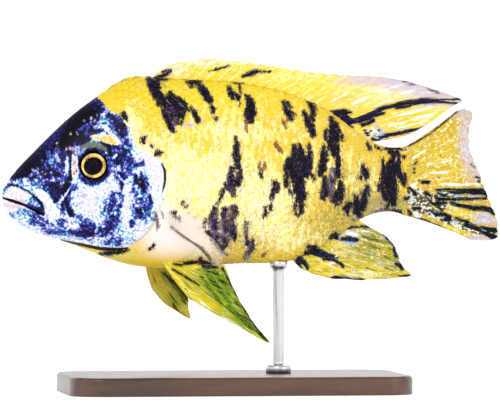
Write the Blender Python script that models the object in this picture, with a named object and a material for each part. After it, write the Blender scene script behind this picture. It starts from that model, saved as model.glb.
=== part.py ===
"""Peacock cichlid as a still, life-size model that swims above a plain display stand.

Every size below is in millimetres. Lengths along the fish run from its snout, and heights are above
the floor. The last step of each object turns them into metres with the origin on the floor, in the
middle of the whole model. The head points to -X, the back to +Z and the fish's left side to -Y.
"""

import math

import bmesh
import bpy
import numpy as np
from mathutils import Matrix, Vector

# General sizes
METRES = 0.001
GAP = 0.3
MIDDLE_X = 67.84

# Body: side view of the back and the belly without fins, half the width from above,
# and how far up from the belly the widest line runs
BACK = [(0.2, 53.2), (0.9, 55.2), (2.7, 57.8), (9.8, 65.6), (20.5, 75.6), (25.6, 79.4), (30.4, 82.9),
        (34.0, 84.7), (38.0, 85.2), (43.0, 84.9), (51.3, 84.4), (64.9, 83.6), (75.8, 81.5), (84.0, 78.6), (88.0, 76.8),
        (92.0, 74.2), (96.0, 71.2), (100.0, 68.4), (104.0, 66.7), (110.5, 66.2)]
BELLY = [(0.2, 50.6), (0.9, 49.0), (2.5, 47.4), (4.4, 45.8), (9.8, 42.9), (16.1, 41.0), (23.7, 38.2),
         (27.3, 36.7), (34.9, 34.4), (43.1, 33.5), (54.0, 33.9), (64.0, 34.5), (74.0, 34.8), (79.0, 35.4),
         (83.4, 37.0), (89.7, 40.8), (93.5, 43.4), (98.7, 46.8), (103.1, 48.3), (106.0, 48.5), (110.5, 47.5)]
HALF_WIDTH = [(0.2, 0.9), (0.9, 2.1), (2.7, 3.6), (5.0, 4.7), (9.8, 6.2), (16.0, 7.8), (24.0, 9.1),
              (32.0, 10.0), (40.0, 10.4), (50.0, 10.3), (60.0, 9.8), (72.0, 8.5), (84.0, 6.6),
              (94.0, 4.8), (102.0, 3.4), (107.0, 2.3), (110.5, 1.2)]
WIDEST_SHARE = [(0.2, 0.45), (10.0, 0.42), (25.0, 0.45), (40.0, 0.50), (60.0, 0.52), (110.5, 0.50)]
BACK_ROUNDING = 1.15
BELLY_ROUNDING = 0.88
STALK_START = 101.0
BODY_FIRST_STEP = 0.6
BODY_STEP_GROWTH = 0.16
BODY_LARGEST_STEP = 3.0
BODY_POINTS_AROUND = 32

# Lines that part the body, from top to bottom
NAPE_CUT = [(37.4, 92.0), (37.4, 84.0), (38.0, 74.0), (38.2, 66.0), (38.0, 56.0), (37.0, 48.0),
            (34.5, 42.0), (31.5, 38.0), (29.0, 34.0), (28.0, 28.0)]
MOUTH_CORNER_X = 11.2
JAW_CUT = [(-4.0, 52.2), (0.0, 51.8), (3.0, 51.3), (6.0, 50.6), (9.0, 49.7), (MOUTH_CORNER_X, 48.8),
           (13.0, 46.9), (14.2, 44.4), (14.8, 41.5), (15.0, 36.0)]
MOUTH_GAP = 0.45

# Lips, as rolls round the edge of the mouth
LIP_FRONT_X = 0.0
LIP_HALF_WIDTH = 5.9
UPPER_LIP_RADIUS = 2.05
LOWER_LIP_RADIUS = 1.35
LIP_CORNER_RADIUS = 0.5
LIP_STEPS = 16

# Eyes and nostrils
EYE_X, EYE_Z = 24.3, 61.0
EYE_RADIUS = 4.75
EYE_DEPTH = 3.6
EYE_STANDS_OUT = 0.75
NOSTRIL_X, NOSTRIL_Z = 10.6, 62.9
NOSTRIL_RADIUS = 0.7

# Gill cover, seen from the side
COVER_OUTLINE = [(32.4, 68.2), (37.4, 68.2), (41.0, 64.0), (43.0, 57.5), (42.0, 51.0), (39.0, 44.8),
                 (34.0, 40.7), (29.3, 39.8), (28.2, 45.0), (29.8, 52.0), (30.6, 61.0)]
COVER_CENTRE = (36.0, 54.0)
COVER_THICKNESS = 1.7
COVER_STANDS_OUT = 0.4
COVER_POINTS = 30

# Fins
MEMBRANE_HALF = 0.26
SPINE_RIDGE = 0.28
RAY_RIDGE = 0.20
RAY_FLANK = 0.22
FIN_ROOT_GAP = GAP

SPINE_COUNT = 16
SOFT_COUNT = 9
DORSAL_ROOT_X = [(-0.4, 40.6), (0.0, 41.4), (8.0, 63.0), (15.0, 82.4), (20.0, 92.6), (24.4, 100.4)]
DORSAL_TIP = [(-0.4, 42.8, 86.6), (0.0, 45.4, 87.9), (1.0, 48.6, 89.1), (2.0, 52.1, 89.7), (5.0, 60.8, 89.8),
              (8.0, 70.9, 88.5), (11.0, 80.4, 87.0), (13.0, 87.3, 86.2), (15.0, 94.4, 85.7),
              (16.0, 98.7, 85.5), (17.0, 104.7, 85.1), (18.0, 111.8, 83.9), (19.0, 119.7, 81.5), (20.0, 126.0, 79.0),
              (21.0, 122.7, 76.8), (22.0, 117.3, 72.9), (23.0, 111.8, 69.8), (24.4, 105.9, 68.3)]
DORSAL_ARCH = [(-0.4, 0.0), (14.0, 0.0), (17.0, 1.1), (19.5, 2.3), (22.0, 1.0), (24.4, 0.2)]

ANAL_COUNT = 11
ANAL_ROOT_X = [(-0.4, 78.4), (0.0, 79.2), (3.0, 84.4), (10.4, 96.6)]
ANAL_TIP = [(-0.4, 81.6, 33.2), (0.0, 84.2, 32.1), (1.0, 90.5, 30.5), (2.0, 98.0, 30.1), (3.0, 105.0, 30.4),
            (4.0, 111.8, 31.3), (5.0, 109.6, 33.8), (6.0, 108.4, 36.6), (7.0, 107.2, 39.4),
            (8.0, 104.8, 42.0), (9.0, 101.8, 43.6), (10.4, 98.9, 45.2)]
ANAL_ARCH = [(-0.4, 0.0), (3.0, -0.4), (10.4, 0.3)]

TAIL_COUNT = 16
TAIL_ROOT_Z = [(-0.4, 65.9), (15.4, 47.8)]
TAIL_TIP = [(-0.4, 124.4, 76.1), (0.0, 125.9, 76.6), (1.0, 128.6, 76.0), (3.0, 128.1, 70.6), (5.0, 128.3, 65.6),
            (7.0, 130.0, 61.3), (9.0, 131.8, 56.0), (11.0, 133.5, 51.0), (12.5, 135.1, 47.2),
            (13.5, 135.5, 44.2), (14.5, 134.8, 41.1), (15.4, 128.6, 40.8)]
TAIL_ARCH = [(-0.4, -0.4), (7.0, 0.0), (15.4, 0.6)]

PELVIC_COUNT = 6
PELVIC_ROOT_Y = 3.4
PELVIC_LEFT_ROOT_X = (43.3, 47.6)
PELVIC_LEFT_TIP = [(-0.3, 50.2, 25.3, 7.6), (0.0, 55.5, 22.1, 9.4), (1.0, 70.8, 13.6, 12.6),
                   (2.0, 67.7, 18.1, 12.0), (3.0, 65.2, 22.1, 11.0), (4.0, 62.7, 26.6, 9.6),
                   (5.3, 59.4, 32.9, 7.4)]
PELVIC_RIGHT_ROOT_X = (39.3, 45.0)
PELVIC_RIGHT_TIP = [(-0.3, 41.0, 26.6, 10.6), (0.0, 44.2, 24.4, 15.0), (1.0, 54.1, 19.3, 24.0),
                    (2.0, 53.8, 22.1, 23.0), (3.0, 53.4, 24.8, 20.0), (4.0, 51.1, 27.5, 15.6),
                    (5.3, 48.0, 30.2, 9.4)]

PECTORAL_COUNT = 9
PECTORAL_ROOT = [(-0.3, 43.4, 48.8), (8.3, 44.7, 44.0)]
PECTORAL_TIP = [(-0.3, 52.7, 43.9), (0.0, 53.6, 43.0), (1.5, 55.6, 41.3), (3.0, 57.1, 39.3),
                (4.5, 57.9, 37.2), (6.0, 57.7, 35.3), (7.2, 56.2, 34.2), (8.3, 53.8, 35.8)]
PECTORAL_SPLAY, PECTORAL_CURL = 0.6, 0.0088
PECTORAL_CLEAR = 0.75

# Stand
BASE_LENGTH, BASE_DEPTH, BASE_HEIGHT = 92.0, 52.0, 5.0
BASE_CENTRE_X = 63.0
BASE_CORNER = 9.0
BASE_EDGE = 1.0
ROD_X = 75.4
ROD_RADIUS = 1.5
FOOT_RADIUS, FOOT_HEIGHT = 3.4, 2.4
SADDLE_RADIUS, SADDLE_HEIGHT = 2.5, 2.2
ROD_SIDES = 24

# Finishes: colour, roughness and metallic value
FINISHES = {
    "head_skin": ((0.07, 0.07, 0.28), 0.35, 0.0),
    "body_skin": ((0.86, 0.66, 0.10), 0.38, 0.0),
    "lip_skin": ((0.72, 0.60, 0.68), 0.40, 0.0),
    "fin_membrane": ((0.80, 0.68, 0.22), 0.42, 0.0),
    "eye_glass": ((0.02, 0.02, 0.03), 0.08, 0.0),
    "stand_wood": ((0.10, 0.055, 0.03), 0.45, 0.0),
    "stand_steel": ((0.62, 0.63, 0.65), 0.28, 1.0),
}


# Curves through a few sizes

def curve_through(points):
    """A smooth function through points of (position, value) or (position, value, value...)."""
    table = np.array(points, float)
    at, values = table[:, 0], table[:, 1:]
    steps = np.diff(at)[:, None]
    slopes = np.diff(values, axis=0) / steps
    tangents = np.empty_like(values)
    tangents[1:-1] = (slopes[:-1] * steps[1:] + slopes[1:] * steps[:-1]) / (steps[:-1] + steps[1:])
    tangents[0], tangents[-1] = slopes[0], slopes[-1]

    def value(position):
        position = min(max(position, at[0]), at[-1])
        i = min(max(int(np.searchsorted(at, position)) - 1, 0), len(at) - 2)
        step = at[i + 1] - at[i]
        t = (position - at[i]) / step
        found = ((1 + 2 * t) * (1 - t) ** 2 * values[i] + t * (1 - t) ** 2 * step * tangents[i]
                 + t * t * (3 - 2 * t) * values[i + 1] + t * t * (t - 1) * step * tangents[i + 1])
        return float(found[0]) if len(found) == 1 else Vector(found)

    return value


def closed_loop(points, count):
    """count points on a smooth closed curve through the given side-view points."""
    ring = np.array(points, float)
    total = len(ring)
    found = []
    for k in range(count):
        place = k * total / count
        i, t = int(place), place - int(place)
        before, here, after, beyond = (ring[(i + j) % total] for j in (-1, 0, 1, 2))
        found.append(0.5 * (2 * here + (after - before) * t
                            + (2 * before - 5 * here + 4 * after - beyond) * t * t
                            + (3 * here - before - 3 * after + beyond) * t ** 3))
    return found


def offset_line(points, distance):
    """The side-view line moved to its left by a distance."""
    line = np.array(points, float)
    along = np.gradient(line, axis=0)
    along /= np.linalg.norm(along, axis=1)[:, None]
    return line + distance * np.stack([-along[:, 1], along[:, 0]], axis=1)


back = curve_through(BACK)
belly = curve_through(BELLY)
half_width = curve_through(HALF_WIDTH)
widest_share = curve_through(WIDEST_SHARE)


# The body's surface as a formula

def widest_height(x):
    return belly(x) + widest_share(x) * (back(x) - belly(x))


def body_point(x, angle):
    """A point of the skin, with the angle measured from the back down the fish's right side."""
    rise = math.cos(angle)
    middle = widest_height(x)
    reach, rounding = (back(x) - middle, BACK_ROUNDING) if rise > 0 else (middle - belly(x), BELLY_ROUNDING)
    side = math.copysign(abs(math.sin(angle)) ** rounding, math.sin(angle))
    return Vector((x, half_width(x) * side, middle + reach * rise))


def half_width_at(x, z):
    """How far the skin stands from the middle plane at this place in the side view."""
    middle = widest_height(x)
    reach, rounding = (back(x) - middle, BACK_ROUNDING) if z > middle else (middle - belly(x), BELLY_ROUNDING)
    rise = min(abs(z - middle) / reach, 1.0)
    return half_width(x) * (1 - rise * rise) ** (rounding / 2)


def belly_height_at(x, y):
    """The height of the skin's underside at this distance from the middle plane."""
    middle = widest_height(x)
    sine = min(abs(y) / half_width(x), 1.0) ** (1 / BELLY_ROUNDING)
    return middle - (middle - belly(x)) * math.sqrt(1 - sine * sine)


# Meshes and joins

part_collection = bpy.data.collections.new("peacock_cichlid")
cutter_collection = bpy.data.collections.new("cutters")


def clear_scene():
    for old in list(bpy.data.objects):
        bpy.data.objects.remove(old)
    for collection in (part_collection, cutter_collection):
        bpy.context.scene.collection.children.link(collection)


def finish_material(name):
    material = bpy.data.materials.get(name)
    if material is None:
        colour, roughness, metallic = FINISHES[name]
        material = bpy.data.materials.new(name)
        material.use_nodes = True
        shader = material.node_tree.nodes["Principled BSDF"]
        shader.inputs["Base Color"].default_value = (*colour, 1.0)
        shader.inputs["Roughness"].default_value = roughness
        shader.inputs["Metallic"].default_value = metallic
    return material


def object_from(name, points, faces):
    mesh = bpy.data.meshes.new(name)
    mesh.from_pydata([tuple(p) for p in points], [], faces)
    mesh.update()
    found = bpy.data.objects.new(name, mesh)
    cutter_collection.objects.link(found)
    return found


def object_from_bmesh(name, shape):
    mesh = bpy.data.meshes.new(name)
    shape.to_mesh(mesh)
    shape.free()
    found = bpy.data.objects.new(name, mesh)
    cutter_collection.objects.link(found)
    return found


def mesh_of_curve(curve_object):
    """The curve as a closed mesh object in the same place, with its caps welded."""
    bpy.context.view_layer.update()
    graph = bpy.context.evaluated_depsgraph_get()
    mesh = bpy.data.meshes.new_from_object(curve_object.evaluated_get(graph))
    shape = bmesh.new()
    shape.from_mesh(mesh)
    bmesh.ops.remove_doubles(shape, verts=shape.verts, dist=1e-4)
    bmesh.ops.recalc_face_normals(shape, faces=shape.faces)
    shape.to_mesh(mesh)
    shape.free()
    mesh.transform(curve_object.matrix_world)
    found = bpy.data.objects.new(curve_object.name + "_mesh", mesh)
    cutter_collection.objects.link(found)
    bpy.data.objects.remove(curve_object)
    return found


def prism(name, outline, y_low, y_high):
    """A closed side-view outline, thick from y_low to y_high."""
    curve = bpy.data.curves.new(name, "CURVE")
    curve.dimensions = "2D"
    curve.fill_mode = "BOTH"
    curve.extrude = (y_high - y_low) / 2
    spline = curve.splines.new("POLY")
    spline.points.add(len(outline) - 1)
    for point, (x, z) in zip(spline.points, outline):
        point.co = (x, z, 0.0, 1.0)
    spline.use_cyclic_u = True
    found = bpy.data.objects.new(name, curve)
    found.rotation_euler = (math.pi / 2, 0.0, 0.0)
    found.location = (0.0, (y_high + y_low) / 2, 0.0)
    cutter_collection.objects.link(found)
    return mesh_of_curve(found)


def combine(target, tools, operation):
    """Applies a Boolean of the target with each tool in turn, and removes the tools."""
    for tool in tools:
        modifier = target.modifiers.new("combine", "BOOLEAN")
        modifier.operation = operation
        modifier.object = tool
        modifier.solver = "EXACT"
        bpy.context.view_layer.update()
        graph = bpy.context.evaluated_depsgraph_get()
        mesh = bpy.data.meshes.new_from_object(target.evaluated_get(graph))
        target.modifiers.remove(modifier)
        target.data = mesh
        bpy.data.objects.remove(tool)
    return target


def copy_of(source, name):
    found = bpy.data.objects.new(name, source.data.copy())
    cutter_collection.objects.link(found)
    return found


def keep_largest(target):
    """Keeps only the largest closed surface of the mesh."""
    shape = bmesh.new()
    shape.from_mesh(target.data)
    bmesh.ops.remove_doubles(shape, verts=shape.verts, dist=1e-4)
    unseen = set(shape.faces)
    groups = []
    while unseen:
        group, queue = set(), [unseen.pop()]
        while queue:
            face = queue.pop()
            group.add(face)
            for edge in face.edges:
                for near in edge.link_faces:
                    if near in unseen:
                        unseen.discard(near)
                        queue.append(near)
        groups.append(group)
    groups.sort(key=len)
    scraps = [face for group in groups[:-1] for face in group]
    bmesh.ops.delete(shape, geom=scraps, context="FACES")
    bmesh.ops.triangulate(shape, faces=shape.faces)
    shape.to_mesh(target.data)
    shape.free()
    return target


def mirrored(source, name):
    """A copy of the object on the fish's other side."""
    found = copy_of(source, name)
    found.data.transform(Matrix.Scale(-1, 4, (0, 1, 0)))
    found.data.flip_normals()
    return found


def finish(target, name, material, smooth_angle=40.0):
    """Names the object, gives it its finish, and brings it to metres about the model's origin."""
    target.name = name
    target.data.name = name
    target.data.transform(Matrix.Translation((-MIDDLE_X, 0.0, 0.0)))
    target.data.transform(Matrix.Scale(METRES, 4))
    target.data.materials.clear()
    target.data.materials.append(finish_material(material))
    target.data.shade_smooth()
    target.data.set_sharp_from_angle(angle=math.radians(smooth_angle))
    cutter_collection.objects.unlink(target)
    part_collection.objects.link(target)
    return target


# Body

def body_stations():
    """Lengths at which the body is sampled, closest at the snout."""
    stations = [BACK[0][0]]
    step = BODY_FIRST_STEP
    while stations[-1] + step < BACK[-1][0]:
        stations.append(stations[-1] + step)
        step = min(step + BODY_STEP_GROWTH, BODY_LARGEST_STEP)
    stations[-1] = BACK[-1][0]
    return stations


def whole_body():
    """The body from the snout to the tail stalk's end as one loft, closed at both ends."""
    stations = body_stations()
    around = BODY_POINTS_AROUND
    points = [body_point(x, 2 * math.pi * j / around) for x in stations for j in range(around)]
    faces = []
    for i in range(len(stations) - 1):
        for j in range(around):
            k = (j + 1) % around
            faces.append((i * around + j, (i + 1) * around + j, (i + 1) * around + k, i * around + k))
    last = (len(stations) - 1) * around
    faces.append(tuple(range(around)))
    faces.append(tuple(last + j for j in reversed(range(around))))
    return object_from("whole_body", points, faces)


def cover_patch(name, grow=0.0, outwards=0.0):
    """The left gill cover, or with grow and outwards the recess that it sits in."""
    outline = closed_loop(COVER_OUTLINE, COVER_POINTS)
    centre = np.array(COVER_CENTRE)
    rings = []
    for share in (0.45, 0.9, 1.0):
        ring = []
        for place in outline:
            arm = place - centre
            ring.append(centre + arm * share * (1 + grow / np.linalg.norm(arm)))
        rings.append(ring)
    rise = [COVER_STANDS_OUT + outwards, COVER_STANDS_OUT + outwards, COVER_STANDS_OUT * 0.55 + outwards]
    outer, inner = [], []

    def skin_y(place):
        return half_width_at(float(place[0]), float(place[1]))

    for ring, height in zip(rings, rise):
        for place in ring:
            y = skin_y(place)
            outer.append((place[0], -(y + height), place[1]))
            inner.append((place[0], -(y - COVER_THICKNESS - grow), place[1]))
    y = skin_y(centre)
    points = outer + inner
    points.append((centre[0], -(y + rise[0]), centre[1]))
    points.append((centre[0], -(y - COVER_THICKNESS - grow), centre[1]))
    count, layer = COVER_POINTS, COVER_POINTS * len(rings)
    faces = []
    for j in range(count):
        k = (j + 1) % count
        faces.append((2 * layer, j, k))
        faces.append((2 * layer + 1, layer + k, layer + j))
        for ring in range(len(rings) - 1):
            a, b = ring * count, (ring + 1) * count
            faces.append((a + j, b + j, b + k, a + k))
            faces.append((layer + a + k, layer + b + k, layer + b + j, layer + a + j))
        edge = (len(rings) - 1) * count
        faces.append((edge + j, layer + edge + j, layer + edge + k, edge + k))
    found = object_from(name, points, faces)
    shape = bmesh.new()
    shape.from_mesh(found.data)
    bmesh.ops.recalc_face_normals(shape, faces=shape.faces)
    shape.to_mesh(found.data)
    shape.free()
    return found


def eye_shape(name, side, grow=0.0):
    """An eyeball, flattened across the head, with its pole in the pupil."""
    shape = bmesh.new()
    bmesh.ops.create_uvsphere(shape, u_segments=24, v_segments=12, radius=1.0)
    centre_y = half_width_at(EYE_X, EYE_Z) + EYE_STANDS_OUT - EYE_DEPTH
    place = (Matrix.Translation((EYE_X, side * centre_y, EYE_Z))
             @ Matrix.Diagonal((EYE_RADIUS + grow, EYE_DEPTH + grow, EYE_RADIUS + grow, 1.0))
             @ Matrix.Rotation(math.pi / 2, 4, "X"))
    shape.transform(place)
    bmesh.ops.recalc_face_normals(shape, faces=shape.faces)
    return object_from_bmesh(name, shape)


def nostril_pit(name, side):
    shape = bmesh.new()
    bmesh.ops.create_icosphere(shape, subdivisions=2, radius=NOSTRIL_RADIUS)
    y = side * half_width_at(NOSTRIL_X, NOSTRIL_Z)
    shape.transform(Matrix.Translation((NOSTRIL_X, y, NOSTRIL_Z)))
    return object_from_bmesh(name, shape)


def lip_roll(name, radius, upwards):
    """A tapered roll that follows the mouth's edge from one corner round the front to the other."""
    mouth = curve_through(JAW_CUT[:6])
    curve = bpy.data.curves.new(name, "CURVE")
    curve.dimensions = "3D"
    curve.bevel_depth = 1.0
    curve.bevel_resolution = 2
    curve.use_fill_caps = True
    spline = curve.splines.new("POLY")
    spline.points.add(LIP_STEPS)
    reach = MOUTH_CORNER_X - LIP_FRONT_X
    for k, point in enumerate(spline.points):
        angle = math.pi * (k / LIP_STEPS - 0.5)
        size = LIP_CORNER_RADIUS + (radius - LIP_CORNER_RADIUS) * math.cos(angle) ** 0.6
        x = MOUTH_CORNER_X - (reach - size) * math.cos(angle)
        y = (LIP_HALF_WIDTH - 0.55 * size) * math.sin(angle)
        z = mouth(x) + upwards * (MOUTH_GAP / 2 + size)
        point.co = (x, y, z, 1.0)
        point.radius = size
    found = bpy.data.objects.new(name, curve)
    cutter_collection.objects.link(found)
    return mesh_of_curve(found)


def build_body():
    body = whole_body()
    far = 30.0
    nape = [tuple(p) for p in NAPE_CUT]
    behind_nape = [(x + GAP, z) for x, z in nape]
    upper_jaw_edge = offset_line(JAW_CUT, MOUTH_GAP / 2)
    lower_jaw_edge = offset_line(JAW_CUT, -MOUTH_GAP / 2)
    jaw_low = (-4.0, 36.0)

    head = combine(copy_of(body, "head_blank"),
                   [prism("head_region", [(-4.0, 92.0), *nape, (-4.0, 28.0)], -far, far)], "INTERSECT")
    jaw = combine(copy_of(head, "jaw_blank"),
                  [prism("jaw_region", [*lower_jaw_edge, jaw_low], -far, far)], "INTERSECT")
    head = combine(head, [prism("jaw_room", [*upper_jaw_edge, jaw_low], -far, far)], "DIFFERENCE")
    head = combine(head, [lip_roll("upper_lip", UPPER_LIP_RADIUS, 1)], "UNION")
    jaw = combine(jaw, [lip_roll("lower_lip", LOWER_LIP_RADIUS, -1)], "UNION")
    torso_region = [*behind_nape, (STALK_START, 28.0), (STALK_START, 92.0)]
    torso = combine(copy_of(body, "torso_blank"), [prism("torso_region", torso_region, -far, far)], "INTERSECT")
    stalk_start = STALK_START + GAP
    stalk_region = [(stalk_start, 92.0), (stalk_start, 28.0), (120.0, 28.0), (120.0, 92.0)]
    stalk = combine(body, [prism("stalk_region", stalk_region, -far, far)], "INTERSECT")

    recess = cover_patch("cover_recess", grow=GAP, outwards=3.0)
    for blank in (head, torso):
        combine(blank, [copy_of(recess, "recess_left"), mirrored(recess, "recess_right")], "DIFFERENCE")
    bpy.data.objects.remove(recess)
    for side in (-1, 1):
        combine(head, [eye_shape("socket", side, grow=GAP), nostril_pit("nostril", side)], "DIFFERENCE")
    cover = cover_patch("cover")
    finish(mirrored(cover, "cover_mirror"), "gill_cover_right", "head_skin")
    finish(cover, "gill_cover_left", "head_skin")
    for side, name in ((-1, "eye_left"), (1, "eye_right")):
        finish(eye_shape(name, side), name, "eye_glass")
    finish(keep_largest(head), "head", "head_skin")
    finish(keep_largest(jaw), "lower_jaw", "lip_skin")
    finish(keep_largest(torso), "torso", "body_skin")
    finish(keep_largest(stalk), "tail_stalk", "body_skin")


# Fins: a plate whose own surface rises along each ray

def ray_positions(first, last, start, end):
    """Ray numbers at which a fin is sampled: both flanks and the crest of each ray, and the free ends."""
    found = []
    for ray in range(first, last + 1):
        found += [(ray - RAY_FLANK, 0.0), (ray, 1.0), (ray + RAY_FLANK, 0.0)]
    return [(start, 0.0)] + found[1:-1] + [(end, 0.0)]


def fin_normal(surface, ray, t, step=0.02):
    """Which way a fin's middle surface faces at a ray and a share of its length."""
    across = surface(ray + step, t) - surface(ray - step, t)
    outwards = surface(ray, t + step) - surface(ray, t - step)
    return across.cross(outwards).normalized()


def fin(name, surface, positions, rows, ridge, notch=0.0, level=False):
    """A fin as a closed plate. surface(ray, t) gives its middle, from the root at t = 0 to the tip at 1.

    A level fin, whose rays lie close together, has its thickness along one direction everywhere.
    """
    middle, upright = [], []
    for ray, crest in positions:
        reach = 1.0 - notch * (1.0 - crest)
        places = [reach * row / rows for row in range(rows + 1)]
        middle.append([surface(ray, t) for t in places])
        upright.append([fin_normal(surface, ray, t) for t in places])
    grid = np.array([[tuple(p) for p in column] for column in middle])
    normals = np.array([[tuple(n) for n in column] for column in upright])
    crest = np.array([c for _, c in positions])[:, None]
    along = np.linspace(0.0, 1.0, rows + 1)[None, :]
    half = MEMBRANE_HALF + ridge * crest * (1.0 - 0.7 * along)
    if level:
        common = normals.mean(axis=(0, 1))
        common /= np.linalg.norm(common)
        half = half / np.clip(np.abs(normals @ common), 0.75, 1.0)
        normals = np.broadcast_to(common, normals.shape)
    points = np.concatenate([(grid + normals * half[:, :, None]).reshape(-1, 3),
                             (grid - normals * half[:, :, None]).reshape(-1, 3)])
    columns, per = len(positions), rows + 1
    other = columns * per
    faces = []
    for i in range(columns - 1):
        for j in range(rows):
            a, b, c, d = i * per + j, (i + 1) * per + j, (i + 1) * per + j + 1, i * per + j + 1
            faces += [(a, b, c), (a, c, d), (other + a, other + c, other + b), (other + a, other + d, other + c)]
    rim = ([i * per for i in range(columns)]
           + [(columns - 1) * per + j for j in range(1, per)]
           + [i * per + rows for i in range(columns - 2, -1, -1)]
           + [j for j in range(rows - 1, 0, -1)])
    for k, a in enumerate(rim):
        b = rim[(k + 1) % len(rim)]
        faces += [(b, a, other + a), (b, other + a, other + b)]
    found = object_from(name, points, faces)
    shape = bmesh.new()
    shape.from_mesh(found.data)
    bmesh.ops.recalc_face_normals(shape, faces=shape.faces)
    shape.to_mesh(found.data)
    shape.free()
    return found


def between(root, tip, arch, t):
    """A point of a ray that runs from root to tip and arches by a vector at its middle."""
    return root.lerp(tip, t) + arch * (4.0 * t * (1.0 - t))


def dorsal_surface():
    root_x, tip, arch = curve_through(DORSAL_ROOT_X), curve_through(DORSAL_TIP), curve_through(DORSAL_ARCH)

    def surface(ray, t):
        x = root_x(ray)
        root = Vector((x, 0.0, back(x) + FIN_ROOT_GAP))
        end = tip(ray)
        sway = 0.9 * math.sin(ray * 0.42) * t * t
        return between(root, Vector((end[0], sway, end[1])), Vector((0.0, 0.0, arch(ray))), t)

    return surface


def anal_surface():
    root_x, tip, arch = curve_through(ANAL_ROOT_X), curve_through(ANAL_TIP), curve_through(ANAL_ARCH)

    def surface(ray, t):
        x = root_x(ray)
        root = Vector((x, 0.0, belly(x) - FIN_ROOT_GAP))
        end = tip(ray)
        sway = 0.7 * math.sin(ray * 0.5 + 0.6) * t * t
        return between(root, Vector((end[0], sway, end[1])), Vector((0.0, 0.0, arch(ray))), t)

    return surface


def tail_surface():
    root_z, tip, arch = curve_through(TAIL_ROOT_Z), curve_through(TAIL_TIP), curve_through(TAIL_ARCH)
    root_line = BACK[-1][0] + FIN_ROOT_GAP

    def surface(ray, t):
        root = Vector((root_line, 0.0, root_z(ray)))
        end = tip(ray)
        sway = 1.6 * math.sin(ray * 0.33 + 0.4) * t * t
        return between(root, Vector((end[0], sway, end[1])), Vector((0.0, 0.0, arch(ray))), t)

    return surface


def pelvic_surface(side, root_x, tips):
    tip = curve_through(tips)

    def surface(ray, t):
        share = (ray + 0.3) / (PELVIC_COUNT - 0.4)
        x = root_x[0] + (root_x[1] - root_x[0]) * share
        y = PELVIC_ROOT_Y + 0.5 * math.sin(math.pi * share)
        root = Vector((x, side * y, belly_height_at(x, y) - FIN_ROOT_GAP - 0.25))
        end = tip(ray)
        return between(root, Vector((end[0], side * end[2], end[1])), Vector((0.0, side * 0.9, -0.5)), t)

    return surface


def pectoral_surface():
    root_line, tip = curve_through(PECTORAL_ROOT), curve_through(PECTORAL_TIP)

    def surface(ray, t):
        root, end = root_line(ray), tip(ray)
        run = t * math.hypot(end[0] - root[0], end[1] - root[1])
        aside = half_width_at(root[0], root[1]) + PECTORAL_CLEAR + PECTORAL_SPLAY * run - PECTORAL_CURL * run * run
        x, z = root[0] + (end[0] - root[0]) * t, root[1] + (end[1] - root[1]) * t
        return Vector((x, -aside, z + 1.6 * t * (1.0 - t)))

    return surface


def build_fins():
    meeting = SPINE_COUNT - 0.5
    seam = 0.07
    dorsal = dorsal_surface()
    spiny = ray_positions(0, SPINE_COUNT - 1, -0.4, meeting - seam)
    soft = ray_positions(SPINE_COUNT, SPINE_COUNT + SOFT_COUNT - 1, meeting + seam, SPINE_COUNT + SOFT_COUNT - 0.6)
    finish(fin("spiny", dorsal, spiny, 4, SPINE_RIDGE, notch=0.08), "dorsal_fin_spiny", "fin_membrane")
    finish(fin("soft", dorsal, soft, 7, RAY_RIDGE, notch=0.02), "dorsal_fin_soft", "fin_membrane")
    anal = ray_positions(0, ANAL_COUNT - 1, -0.4, ANAL_COUNT - 0.6)
    finish(fin("anal", anal_surface(), anal, 6, RAY_RIDGE, notch=0.03), "anal_fin", "fin_membrane")
    tail = ray_positions(0, TAIL_COUNT - 1, -0.4, TAIL_COUNT - 0.6)
    finish(fin("tail", tail_surface(), tail, 6, RAY_RIDGE, notch=0.02), "tail_fin", "fin_membrane")
    pelvic = ray_positions(0, PELVIC_COUNT - 1, -0.3, PELVIC_COUNT - 0.7)
    left = pelvic_surface(-1, PELVIC_LEFT_ROOT_X, PELVIC_LEFT_TIP)
    right = pelvic_surface(1, PELVIC_RIGHT_ROOT_X, PELVIC_RIGHT_TIP)
    finish(fin("pelvic", left, pelvic, 7, RAY_RIDGE, notch=0.04), "pelvic_fin_left", "fin_membrane")
    finish(fin("pelvic", right, pelvic, 7, RAY_RIDGE, notch=0.04), "pelvic_fin_right", "fin_membrane")
    pectoral = ray_positions(0, PECTORAL_COUNT - 1, -0.3, PECTORAL_COUNT - 0.7)
    near = fin("pectoral", pectoral_surface(), pectoral, 5, RAY_RIDGE * 0.7, level=True)
    finish(mirrored(near, "pectoral_mirror"), "pectoral_fin_right", "fin_membrane")
    finish(near, "pectoral_fin_left", "fin_membrane")


# Stand

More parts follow.
